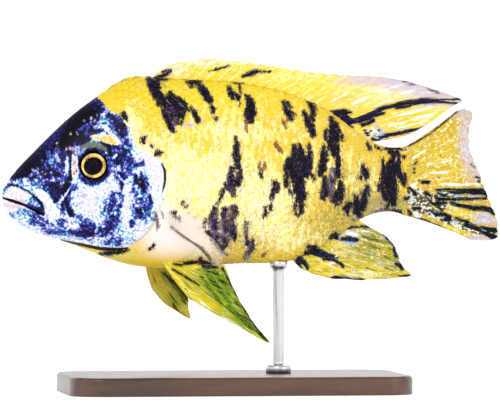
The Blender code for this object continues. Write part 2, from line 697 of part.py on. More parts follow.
def build_stand():
    shape = bmesh.new()
    bmesh.ops.create_cube(shape, size=1.0)
    shape.transform(Matrix.Translation((BASE_CENTRE_X, 0.0, BASE_HEIGHT / 2))
                    @ Matrix.Diagonal((BASE_LENGTH, BASE_DEPTH, BASE_HEIGHT, 1.0)))
    upright = [e for e in shape.edges if abs(e.verts[0].co.z - e.verts[1].co.z) > 1.0]
    bmesh.ops.bevel(shape, geom=upright, offset=BASE_CORNER, segments=6, profile=0.5, affect="EDGES")
    level = [e for e in shape.edges if min(v.co.z for v in e.verts) > BASE_HEIGHT - 0.01]
    bmesh.ops.bevel(shape, geom=level, offset=BASE_EDGE, segments=2, profile=0.5, affect="EDGES")
    bmesh.ops.triangulate(shape, faces=shape.faces)
    finish(object_from_bmesh("base", shape), "stand_base", "stand_wood")

    low = BASE_HEIGHT + GAP
    top = belly(ROD_X) - GAP
    profile = [(FOOT_RADIUS, low), (FOOT_RADIUS, low + 0.7 * FOOT_HEIGHT), (FOOT_RADIUS - 0.7, low + FOOT_HEIGHT),
               (ROD_RADIUS, low + FOOT_HEIGHT + 0.4), (ROD_RADIUS, top - SADDLE_HEIGHT),
               (SADDLE_RADIUS, top - 0.6), (SADDLE_RADIUS, None), (SADDLE_RADIUS / 2, None)]
    points = []
    for radius, z in profile:
        for k in range(ROD_SIDES):
            turn = 2 * math.pi * k / ROD_SIDES
            x, y = ROD_X + radius * math.cos(turn), radius * math.sin(turn)
            points.append((x, y, belly_height_at(x, y) - GAP if z is None else z))
    points.append((ROD_X, 0.0, top))
    faces = [tuple(reversed(range(ROD_SIDES)))]
    last = (len(profile) - 1) * ROD_SIDES
    for k in range(ROD_SIDES):
        n = (k + 1) % ROD_SIDES
        for row in range(0, last, ROD_SIDES):
            faces.append((row + k, row + n, row + ROD_SIDES + n, row + ROD_SIDES + k))
        faces.append((last + k, last + n, len(points) - 1))
    finish(object_from("rod", points, faces), "stand_rod", "stand_steel")


clear_scene()
build_body()
build_fins()
build_stand()
for leftover in list(cutter_collection.objects):
    bpy.data.objects.remove(leftover)
bpy.data.collections.remove(cutter_collection)
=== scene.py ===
import math

import bmesh
import bpy
import numpy as np
from mathutils import Matrix, Vector


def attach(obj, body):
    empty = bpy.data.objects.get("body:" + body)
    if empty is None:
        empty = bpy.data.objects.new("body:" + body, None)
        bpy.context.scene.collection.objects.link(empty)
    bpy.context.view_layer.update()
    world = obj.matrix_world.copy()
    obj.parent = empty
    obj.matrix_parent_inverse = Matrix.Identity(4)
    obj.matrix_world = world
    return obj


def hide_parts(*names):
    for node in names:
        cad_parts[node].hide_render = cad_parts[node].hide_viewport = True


# Peacock cichlid on a display stand: skin, scales, fins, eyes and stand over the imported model.
# Lengths along the fish are in millimetres from its snout, heights in millimetres above the floor.

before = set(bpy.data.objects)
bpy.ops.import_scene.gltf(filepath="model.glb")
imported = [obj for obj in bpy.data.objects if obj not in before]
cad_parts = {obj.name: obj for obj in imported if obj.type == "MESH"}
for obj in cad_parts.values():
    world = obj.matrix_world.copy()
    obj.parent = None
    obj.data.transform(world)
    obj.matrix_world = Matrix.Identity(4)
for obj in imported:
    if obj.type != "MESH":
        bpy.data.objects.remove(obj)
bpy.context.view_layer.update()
mm = 0.001
middleX = 67.84  # from the snout to the origin
unmarked = -30.0  # the depth of places that no stroke comes near, in pixels
strokeMargin = 8  # how far round a stroke its depth is worked out, in pixels

view = {"azimuth": -8.0, "distance": 1.2, "targetX": -0.00021, "targetZ": 0.05184, "frameWidth": 0.135,
        "sensor": 36.0, "imageWidth": 500, "imageHeight": 400, "clip": (0.05, 12.0)}


# Tables and markings written as text

def strokes(text):  # strokes are parted by semicolons, their points by commas
    return [[tuple(float(v) for v in point.split()) for point in part.split(",")] for part in text.split(";")]


def table(text):  # rows of numbers parted by commas
    return strokes(text)[0]


def patches(text):  # soft patches: centre across and down, reach across and down, colour, strength
    rows = [row.split() for row in text.split(",")]
    return [(*(float(v) for v in row[:4]), row[4], float(row[5])) for row in rows]


body = {
    "back": table("""
        0.2 53.2, 0.9 55.2, 2.7 57.8, 9.8 65.6, 20.5 75.6, 25.6 79.4, 30.4 82.9, 34 84.7, 38 85.2,
        43 84.9, 51.3 84.4, 64.9 83.6, 75.8 81.5, 84 78.6, 88 76.8, 92 74.2, 96 71.2, 100 68.4, 104 66.7,
        110.5 66.2"""),
    "belly": table("""
        0.2 50.6, 0.9 49, 2.5 47.4, 4.4 45.8, 9.8 42.9, 16.1 41, 23.7 38.2, 27.3 36.7, 34.9 34.4,
        43.1 33.5, 54 33.9, 64 34.5, 74 34.8, 79 35.4, 83.4 37, 89.7 40.8, 93.5 43.4, 98.7 46.8,
        103.1 48.3, 106 48.5, 110.5 47.5"""),
    "halfWidth": table("""
        0.2 0.9, 0.9 2.1, 2.7 3.6, 5 4.7, 9.8 6.2, 16 7.8, 24 9.1, 32 10, 40 10.4, 50 10.3, 60 9.8,
        72 8.5, 84 6.6, 94 4.8, 102 3.4, 107 2.3, 110.5 1.2"""),
    "widest": table("0.2 0.45, 10 0.42, 25 0.45, 40 0.5, 60 0.52, 110.5 0.5"),
    "backRounding": 1.15, "bellyRounding": 0.88, "around": 240, "headInset": 0.06, "snoutInset": 0.62,
    "scaledInset": 0.3,
}


# Curves, places and distances

def curveThrough(points):
    rows = np.array(points, float)
    at, values = rows[:, 0], rows[:, 1:]
    steps = np.diff(at)[:, None]
    slopes = np.diff(values, axis=0) / steps
    tangents = np.empty_like(values)
    tangents[1:-1] = (slopes[:-1] * steps[1:] + slopes[1:] * steps[:-1]) / (steps[:-1] + steps[1:])
    tangents[0], tangents[-1] = slopes[0], slopes[-1]

    def value(position):
        place = np.clip(np.asarray(position, float), at[0], at[-1])
        i = np.clip(np.searchsorted(at, place) - 1, 0, len(at) - 2)
        step = (at[i + 1] - at[i])[..., None]
        t = (place - at[i])[..., None] / step
        found = ((1 + 2 * t) * (1 - t) ** 2 * values[i] + t * (1 - t) ** 2 * step * tangents[i]
                 + t * t * (3 - 2 * t) * values[i + 1] + t * t * (t - 1) * step * tangents[i + 1])
        return found[..., 0] if values.shape[1] == 1 else found

    return value


def closedLoop(points, count):
    ring = np.array(points, float)
    place = np.arange(count) * len(ring) / count
    i = place.astype(int)
    t = (place - i)[:, None]
    before, here, after, beyond = (ring[(i + j) % len(ring)] for j in (-1, 0, 1, 2))
    return 0.5 * (2 * here + (after - before) * t + (2 * before - 5 * here + 4 * after - beyond) * t * t
                  + (3 * here - before - 3 * after + beyond) * t ** 3)


def smooth(value, low, high):
    t = np.clip((value - low) / (high - low), 0.0, 1.0)
    return t * t * (3 - 2 * t)


def ledge(depth, low, high):
    return np.clip((depth - low) / (high - low), 0, 1)


def hump(away, reach):
    return np.exp(-(away / reach) ** 2)


back = curveThrough(body["back"])
belly = curveThrough(body["belly"])
halfWidth = curveThrough(body["halfWidth"])
widestShare = curveThrough(body["widest"])


def sectionAt(x):  # lowest, widest and highest height of the body
    low, high = belly(x), back(x)
    return low, low + widestShare(x) * (high - low), high


def bodySurface(x, angle):
    low, middle, high = sectionAt(x)
    rise = np.cos(angle)
    reach = np.where(rise > 0, high - middle, middle - low)
    rounding = np.where(rise > 0, body["backRounding"], body["bellyRounding"])
    side = np.sign(np.sin(angle)) * np.abs(np.sin(angle)) ** rounding
    return np.stack([x + 0 * side, halfWidth(x) * side, middle + reach * rise], -1)


def halfWidthAt(x, z):
    low, middle, high = sectionAt(x)
    reach = np.where(z > middle, high - middle, middle - low)
    rounding = np.where(z > middle, body["backRounding"], body["bellyRounding"])
    return halfWidth(x) * (1 - np.minimum(abs(z - middle) / reach, 1.0) ** 2) ** (rounding / 2)


def undersideAt(x, y):
    low, middle, _ = sectionAt(x)
    sine = np.minimum(abs(y) / halfWidth(x), 1.0) ** (1 / body["bellyRounding"])
    return middle - (middle - low) * np.sqrt(1 - sine * sine)


def photoPlace(points, side=None):  # a point's place in the photo; side -1 folds the far side over
    turn = math.radians(view["azimuth"])
    x = (points[..., 0] - middleX) * mm - view["targetX"]
    y = (-np.abs(points[..., 1]) if side == -1 else points[..., 1]) * mm
    depth = view["distance"] - x * math.sin(turn) + y * math.cos(turn)
    scale = view["imageWidth"] / view["frameWidth"] * view["distance"] / depth
    across = x * math.cos(turn) + y * math.sin(turn)
    return (view["imageWidth"] / 2 + across * scale,
            view["imageHeight"] / 2 - (points[..., 2] * mm - view["targetZ"]) * scale)


def foldedPlace(points):  # as photoPlace, with the far side's blotches shifted to differ
    px, py = photoPlace(points, -1)
    far = (points[..., 1] > 0) * smooth(px, 110, 170)
    return px + far * (7 * np.sin(py / 17 + 1.3) + 4), py + far * (6 * np.sin(px / 23 + 0.7) - 3)


def nearSegment(px, py, ax, ay, bx, by):  # share of the segment at its nearest point, and the way there
    dx, dy, run, rise = px - ax, py - ay, bx - ax, by - ay
    t = np.clip((dx * run + dy * rise) / max(run ** 2 + rise ** 2, 1e-9), 0, 1)
    return t, np.hypot(dx - t * run, dy - t * rise)


def strokeDepth(px, py, lines):  # how deep a place lies inside the nearest stroke, in pixels
    depth = np.full(px.shape, unmarked)
    for stroke in lines:
        line = stroke if len(stroke) > 1 else stroke * 2
        for (ax, ay, ar), (bx, by, br) in zip(line[:-1], line[1:]):
            reach = max(ar, br) + strokeMargin
            near = ((px > min(ax, bx) - reach) & (px < max(ax, bx) + reach)
                    & (py > min(ay, by) - reach) & (py < max(ay, by) + reach))
            if near.any():
                t, away = nearSegment(px[near], py[near], ax, ay, bx, by)
                depth[near] = np.maximum(depth[near], ar + (br - ar) * t - away)
    return depth


def loopDepth(px, py, loop):  # how deep a place lies inside a closed outline, less than 0 outside
    nearest = np.full(px.shape, 1e9)
    inside = np.zeros(px.shape, bool)
    for (ax, ay), (bx, by) in zip(loop, np.roll(loop, -1, 0)):
        nearest = np.minimum(nearest, nearSegment(px, py, ax, ay, bx, by)[1])
        inside ^= ((ay > py) != (by > py)) & (px < (bx - ax) * (py - ay) / (by - ay + 1e-12) + ax)
    return np.where(inside, nearest, -nearest)


def lineHeight(px, py, line):  # distance above a line that runs left to right, and the place along it
    above, along = np.full(px.shape, 1e9), np.zeros(px.shape)
    for (ax, ay), (bx, by) in zip(line[:-1], line[1:]):
        t, away = nearSegment(px, py, ax, ay, bx, by)
        upper = (bx - ax) * (py - ay) - (by - ay) * (px - ax) < 0
        better = away < np.abs(above)
        above = np.where(better, np.where(upper, away, -away), above)
        along = np.where(better, ax + t * (bx - ax), along)
    return above, along


# Markings in the photo's frame, drawn as strokes: each point is pixels across, pixels down and a radius; a
# few strokes are painted shade

darkMarks = {
    "shoulder": strokes("""
        150 80 3.2,153 88 4,157 96 3.6;155 80 3.6,158 88 2.6;148 80 1.4,167 79 1.2;160 94 2.4,164 101 2.6,
        166 107 2;170 93 1.8,174 98 2.8,182 101 2.2,186 108 1.6,189 111 0.9;175 101 3,177 110 3.6,
        180 116 3.4;183 108 2,184 114 1.6;158 103 2,164 104 2;162 109 1.2,165 114 3,169 120 3.4,
        171 128 2.6,174 131 1;170 106 2.4,173 116 2.6;177 119 2,178 123 1.2;182 119 1.2,181 124 0.8;
        191 108 1,194 112 1.6,198 121 2;187 82 1.2,191 82 2.4,200 82 1;197 82 2.2;191 86 1.8,193 86 0.9;
        200 87 1.6,203 91 3.2,206 96 3.8,208 100 2.4;211 105 1.1,213 109 2,213 113 1.2;216 118 1.8;
        229 88 1.9,231 93 3,233 98 1.8;236 94 1.1,238 97 2.3,239 100 0.9;235 82 1.3,239 81.5 1.5,
        244 81 0.7;238 83 0.8,241 92 0.5;246 96 1.3,249 99 2.8,251 105 4,251 113 4.8,250 120 3.2;
        246 110 1.2,246 116 1.3;123 113 1.8,125 117 2.2,127 119 1.4;124 124 0.8,125 128 0.6;143 139 1.8,
        145 137 1.4;142 142 1.2,145 143.5 0.8;152 146 0.9;157 154 2.2,162 152 0.9;174 213 1.1,175 217 1.2,
        179 219 1.2;172 212 0.9;183 203 1.1;150 249 1,154 245 1.2;162 99 2.6,167 107 3.6,174 116 3.6;
        168 98 2.6,178 105 4.4,180 114 3.6;100 254 0.8,108 253.5 1.8,120 252 1.4,128 250 0.8;198 84 1.6,
        204 90 3,209 100 3.4;230 90 2,232 96 2"""),
    "flank": strokes("""
        283 102 1.3,285 107 1.8,288 113 2.9,291 118 2.2;287 102 1,290 108 1.5;291 112 0.7,295 115 0.7;
        309 102 1.5,313 101 2.2,319 101.5 1.6;311 104 2.5,313 109 2.8,313 114 2.2;311 116 1.8,313 120 1.4;
        304 112 1.3,306 117 2.4,308 122 3.2,311 128 3.5,313 134 2.6;331 118 1.3,334 126 4.6,335 133 5.8,
        334 139 5.6;326 130 1.3,326 139 1.6;341 136 1.5,342 140 0.9;331 142 3.6,333 147 4.4,334 155 2;
        337 146 2.2,338 154 2,338 166 2.8;324 145 1,323 152 1.7,323 162 3.2,322 170 3.4,320 175 1.6;
        326 153 1.3,326 161 1.5;337 168 2.5,338 176 2.9;333 181 2.4;325 177 1.6,325 187 3.4,326 193 3,
        324 199 1.3;321 190 0.9,322 199 0.7;340 182 1.9,341 190 2.8,341 198 2.7,342 202 1.2;337 192 2.8,
        335 200 3.4,337 204 1.8;294 146 1.5,295 152 2.8;300 146 1.9,301 153 3.8;309 146 1.3,310 153 2,
        310 168 2.2;297 156 5,297 164 8,297 171 8.8,297 178 6.6;303 160 4.8,305 169 4.8,306 176 2.8;
        289 160 2.2,287 168 2.8,286 175 2;312 175 1.3,314 179 1.2;287 178 1.8,286 184 1.7,287 187 0.9;
        299 180 5.2,300 189 4.8,300 200 3.8;294 185 1.4,295 192 1.6;290 190 1,291 195 0.7;304 193 1.8,
        305 199 1.2;296 201 1.3,295 209 1;301 205 2.4,301 212 1.9,300 215 1;296 214 0.8,298 216 0.7;
        363 167 1.3,365 172 3.2,366 177 2.6;361 178 1.2;367 187 1.3,365 194 2.3,364 201 3.3,362 207 3.8;
        351 203 1.5,347 208 3,348 213 1.8;356 197 1.7,357 204 3.4,357 211 3.8,360 216 2.2;344 208 1.2;
        369 190 0.7,369 196 0.6;367 144 0.7,370 148.5 1.3;375 147 0.5,380 149 0.7;274 183 2.2,274 190 2.2,
        272 197 1.3,271 200 0.9;278 183 0.9,278 192 1.2;271 205 1.2,271 210 0.9;265 208 1.3,266 212 1.9,
        264 217 0.9;236 148 2.8,237 158 3.6,238 167 2.6;236 138 1,237 147 1.6;224 189 1.1,222 194 1.5,
        220 199 0.8,218 204 1.1;206 221 0.9,204 226 0.9;232 168 1.6,231 177 3,231 185 3.2;240 170 1.6,
        240 177 2.4,237 184 2.8;235 180 1.8;226 185 1.8,229 188 2.2,233 190 2.4,233 195 1.6;215 208 1.9,
        213 213 2.4,211 219 1.7;216 222 2.8,215 228 2.3;225 210 2.3,223 216 1.8;226 222 2.1,226 230 2.3;
        234 208 2.4,236 212 1.9,232 219 1.8;233 226 1.9,233 233 2.7,235 238 2;207 232 1.2,212 237 1.7,
        216 243 2,220 249 1.4;217 237 1.9;224 238 1.4,226 244 1.8,223 248 1.2;247 223 1,247 229 0.9;
        247 237 1.1,247 244 1.7;253 241 1,253 248 1.5,250 252 1.1;260 173 1.1,262 177 1"""),
    "tailStalk": strokes("""
        386 149 0.9,400 149 1.1,405 148.5 0.7;389 152 1.1,397 152 2.1;394 155 2.2,393 160 1.8;398 155 1.5,
        399 161 1.5;404 157 1.3;391 164 4.6,390 171 6.3,390 179 6.8,391 187 6,392 195 4.4,393 203 3.2;
        397 165 3.4,398 172 3.4,403 179 3.2,404 184 1.8;405 174 1.1,406 181 0.9;384 166 1.5,382 180 2.1,
        383 192 2.4,387 199 2.4;383 160 0.9,383 165 0.9;388 206 1.4,386 209 0.9;394 211 1.8,400 212 1.2;
        379 185 1.2,379 191 1;407 199 2.2"""),
    # The strokes from 173 264 to 214 266 are painted shadow on the body along the near pelvic fin's root.
    "lower": strokes("""
        300 261 4.2,296 265 2.8,300 268 2;304 262 2.4,308 268 1.4;291 265 1.1;306 253 2,312 251 3.4,
        320 253 3.8,327 256 2.8,333 256 1.3;308 247 1.5,316 247 1.5;324 259 1.8,334 260 1.3,340 263 1.4,
        343 266 1.3;331 238 1.3,335 235 2.6,337 238 1.9;342 239 1.5,348 238 1.9,356 240 1.5;173 264 0.9,
        178 265 1.5,190 263 1.6,196 262 1;201 257 0.9,201 262 1.8,206 264 2.2,214 266 2.2"""),
    # The dot at 43.5 158.8 is painted shade in the nostril's pit.
    "face": strokes("""
        12 178 2.6,22 173 4.4,32 164 6,42 154 7.5,52 143 9,62 132 9.5,72 122 9.5,82 113 9,92 107 7.6,
        99 104 4.6;100 103 3,105 104.5 1;26 175 2.4,38 162 4,46 152 5;62 143 6,70 138 5;76 132 4,84 120 5;
        94 112 4.4,102 110 2.6;71 146 3.4,70 156 2.2,70 178 1.6;76 141 4.4,84 140 4.4,90 137 2.6;
        88 131 2.6,98 131.5 2.2,102 130 1.5;100 141 1.8,106 144.5 2.6,110 150 1.8,109 160 1.6;88 151 1.6,
        95 150 2,103 153 2.6,107 159 1.6;79 158 1.6,79 165 1;78 173 1.2,80 178 2,86 182 2.8,94 183.5 2.6,
        102 180.5 2.4,107 175 1.4;66 186 3,68 193 2.2;73 185 1.9,75 189 1.8,77 184 1.1;64 203 3,
        67 208 1.8;62 209 1.4;137 176 1.8,135 181 0.8;136 201 1,137 204 0.8;43.5 158.8 1.5;146 178 1.1,
        147 186 1;144 164 0.8,141 163 0.6;150 196 0.9,152 204 0.7;132 220 1,131 226 0.8;112 192 0.9,
        120 194 0.8;121 206 0.9;112 136 0.6,104 131 0.5;3.6 193.5 1.2,5 189.5 2.2,8 186 2.2,12 184.2 1.6,
        18 186.4 1.2,25.5 190.5 1.2;25.5 190.5 1.2,32 194.3 1.5,36 198.6 1.7,41 204 1.8,43.6 208.6 1.6;
        27 204 1,33 207 2.2,38 210.5 2.6,42.5 213 2;66 209 2.2,70 212 3.2,72 215 1.8;65 199 1.6,
        67 203 2.2;12 173 3,16 176 2.4;50 196 1,56 200 2;77 206 0.6;113 119 1,118 128 1.2,121 136 0.9;
        112 131 0.8,115 138 0.8;121 172 1,122 182 1.2,121 192 1;134 166 1,140 163 0.8;12 176.5 3,20 169 4,
        30 157.5 5,41 146.5 5.4,52 134 6,62 123 6,72 113 6,82 106 6,92 101 5.5,99 101 4;139 176 2,
        142 184 2.4,145 190 1.4;151 203 1.2,149 209 1.6;137 210 1.2,142 213 1.4;134 221 0.8,133 226 0.6"""),
    "dorsal": strokes("""
        150 78 1.4,160 77 2,165 75 2,171 71 1.2;163 72 1.2,169 70 1;209 71.5 0.5,218 69 0.8,230 65.5 0.4;
        243 76.5 1.2,250 74 2.6,257 71.5 1.9;258 72 1.2,270 71.5 0.9;330 113 2,338 113 3.4,345 112 3;
        336 118 4,344 118 5,350 121 3.4;349 111 1.2,351 113 1;346 123 2,350 127 2,353 128 1;352 122 2,
        360 120 3,368 117 3.2,374 113 2.8,382 109 2.3,390 106.5 2.3,400 104 2.4,412 102.4 2.4,
        424 101.4 2.2,436 101.6 1.7,448 102.4 1.2,458 103 0.7;362 125 1.8,370 123 2,374 120 1.5;
        376 115 1.8,384 113 1.4;396 107.5 1.4,410 106 1.2;420 99.5 1,436 99.4 0.9,452 99.8 0.8,463 99 0.9;
        404 82 0.2,416 85 0.25;428 88.5 0.25,440 93.5 0.3;365 131 1.5,368 135 1.1;372 139 1,380 140.5 0.9,
        400 141 0.8,410 138 0.9,420 132 0.7;380 138 1.6,388 135 1.7,396 134 1.7,406 132 1.5,416 129.5 1.1,
        427 126 0.8;373 138 1.1;379 130 0.7"""),
    "tail": strokes("""
        437 189.5 1,448 190 1.2,462 190 1.4,476 190 1.6,486 189.5 1.8;438 193 1,446 196 1.4;450 192 1.4,
        470 192.5 1.4,484 193 2.2,488 197 1.3;442 199 2.2,452 199 1.3,470 199 1.1,486 198.5 1.1;
        437 203 1.8,446 203 1.6;452 203 2,462 206 2.1,474 208 2.3,486 209 2.5,492 210 2.5;492 213 1.3,
        495 215 0.8;409 188 1,414 192 2,416 195 1.3;426 193 2,430 196 1.3;436 197 1.9,440 199 1.5;
        425 196 0.9,430 201 1.1,436 206 0.9,442 210 1.5;405 200 1.9,409 197 1.3;414 209 2.2,420 208 1.5;
        408 210 0.9,411 214 1.3,409 217 0.9;437 214 1.7,444 214 1.9,450 217 2.3;446 219 1.7,452 220 0.9;
        456 218 1.3,462 221 1.7,468 222 1.5;466 225 2.3,474 227 1.9,480 230 2.1,484 233 2;430 210 0.9,
        436 215 0.9;423 182 2.2,429 182 1.5;419 181 0.8;482 228 1.6,490 230 2.8,496 230 2.2;486 233 2.8,
        492 236 2.8,496 237 1.9;479 181 1.5;477 177 0.9,481 179 0.5;472 165 0.6,475 167 0.5;415 164 1.1,
        417 161 0.9;414 169 1.2;441 156 0.6;439 178 0.7;414 172 1.2;413 165 0.9;398 210 1.1,403 215 0.7;
        408 146.5 0.5,418 141 0.5,429 134.5 0.5,440 126 0.5,450 117.5 0.5,458 111 0.4;400 216.5 0.6,
        414 219 0.6,424 219 0.5,431 223 0.9,440 226 0.5,450 233 0.6,460 238 0.5"""),
    "anal": strokes("""
        332 236 1.8,338 234 2;342 239 1.3,348 238 1.9,357 240 1.5;348 229 0.8,353 227 1.1,362 226.5 0.9,
        370 227 0.9,378 230 0.7,386 236 0.6,392 242 0.7;369 226 0.5,377 230 0.6,384 234.5 0.7,390 241 0.7,
        395 248.5 0.8,397.5 254 0.8;332 278 0.9,338 277 1.3,350 279.5 1,366 280 0.9;394 250 1.6,
        396 256 2.1;397 264 2.2,401 266 2.3,402 270 1.7;399 276 0.9,408 276 1.5,411 275.5 0.8"""),
    # The strokes from 174 264 to 219 266 are painted shadow where the fin meets the body.
    "pelvic": strokes("""
        172 269 0.8,177 272 1.1,186 277 1.2,199 285 0.7;174 264 1.1,180 265 1.5,190 263 1.4,196 262 0.9;
        203 266 1.9,212 267 1.9,219 266 1.1;222.5 268 0.8,230 284 0.8,239 299 0.7,249 317 0.8,258 329 0.9,
        267 341 0.9;233 291 0.7,236 295 0.5;244 309 0.9,247 314 0.7;256 330 0.8,264 338 0.9;249 317 0.5,
        253 323 0.5"""),
    "farPelvic": strokes("""
        162 273 0.5,169 278 0.9,177 286 1.1,185 295 1,187 300 0.8;173 304 0.4,179 312 0.7,187 319 0.7"""),
    "pectoral": strokes("171 227 0.7,183 236 1.1,192 242 1,202 249 1.4,208 256 1.6,211 262 1"),
}
skinMarks = {
    # The first stroke, from 2 197.5 to 43 214.6, is painted shade in the cleft between the lips, over the
    # mouth's own dark edge.
    "line": strokes("""
        2 197.5 1.1,10 200.2 1.8,18 202.8 1.9,24 204.8 1.5,34 210 1.5,43 214.6 1.8;9 184.8 0.8,18 186 0.9,
        27 190.5 1,36 197.5 1.3,43 206 1.6;61 240 0.9,80 244.4 1.8,100 248.6 2.1,118 249.4 1.9,
        129 247.6 0.9;131 246 0.3,146 235 0.4,154 223 0.4;71 152 0.9,70.4 168 1.1,71 180 1.8;161.5 163 1,
        165 171 1.7,165 181 1.6,163.5 188 1.3,162 193 0.7"""),
    "brown": strokes("""
        245 121 0.9,246 126 1.6,247 131 1.1;74 153 0.6,76 156 0.5;74.5 161 0.4,73.5 166 0.5;76.5 170 0.4,
        74.5 174 0.6;282 118 0.9,284 123 1.4,286 128 0.9;288 120 1.2,291 121 0.8;275 141 0.9,277 146 1.7,
        280 150 1.5,283 154 0.8;259 162 0.9,260 168 1.5,262 175 1;265 162 0.8,265 168 1.5,262 170 0.9;
        312 137 1.2;187 199 0.8,188 204 1.2,185 208 1;263 256 1.3,266 252 1;300 207 1.2;198 84 1,
        201 86 0.8;241 104 1,238 106 0.8;309 142 0.6"""),
    "mottled": strokes("""
        232 209 4.6,228 220 7.6,226 234 8.6,222 247 5;216 212 4,213 224 4.6,216 236 5;231 174 3.4,
        229 187 3.6,234 193 3;238 175 3.4;155 212 1.4,156 218 2.2,158 226 2,157 231 0.9;161 212 1,
        164 219 1.2;235 152 3,237 164 3.4;298 160 4,298 172 4;372 213 1.6,384 209 2.4,398 212 1.6;
        352 220 1.4,362 216 1.6;380 203 0.9,386 206 1;396 207 0.9;245 225 2.2,247 240 2.6,251 248 4,
        246 257 4;166 107 3,172 112 4,175 122 4;333 170 4,331 186 5,330 196 4;222 253 2.4,228 255 1.6"""),
    "violet": strokes("""
        71 134 1.1;77 133 1.4;84 121 1.1;91 118 1.5;95 121 1.1;97 115 0.9;38 168 1;42 172 1;45 174 1.2;
        70 148 1.4,78 150 1.8;33 170 1;57 143 1;66 149 1.4;80 196 1.1,86 195 1.5;67.5 160 0.7;66 168 0.8;
        77 163 0.5;81 203 1,85 201 0.7;180 113 1;289 183 1.2;285 166 0.8;305 166 0.8;226 227 1.4;
        225 240 1;234 225 1.3;224 214 1;178 218 0.6;120 200 1;62 183 1.4;214 119 1;216 122 0.8;190 122 1;
        171 121 1,176 128 1.5;180 120 1.2,185 126 1.4;196 123 1,204 120 1.2;188 126 1.1,194 125 1.2;
        166 108 0.6,171 116 0.8;174 106 0.6,178 112 0.7;208 117 0.9;218 124 0.8,222 130 0.9;230 158 0.8,
        229 164 1;244 186 1,240 192 1;155 221 1.2;96 231 1.4;109 196 1.2;140 182 1;119 186 1;92 216 1;
        104 218 1"""),
    "warm": strokes("91 136 1.2,97 138 2,106 139 4,112 140.5 4.2,117 143 1.8"),
    "olive": strokes("""
        81 148 1.6,86 145.5 2.4,94 144 3,101 146.5 2.4,106 150 1.2;179 103 0.8,184 107 0.8;163 84 0.8,
        166 88 0.7;58 146 1"""),
}
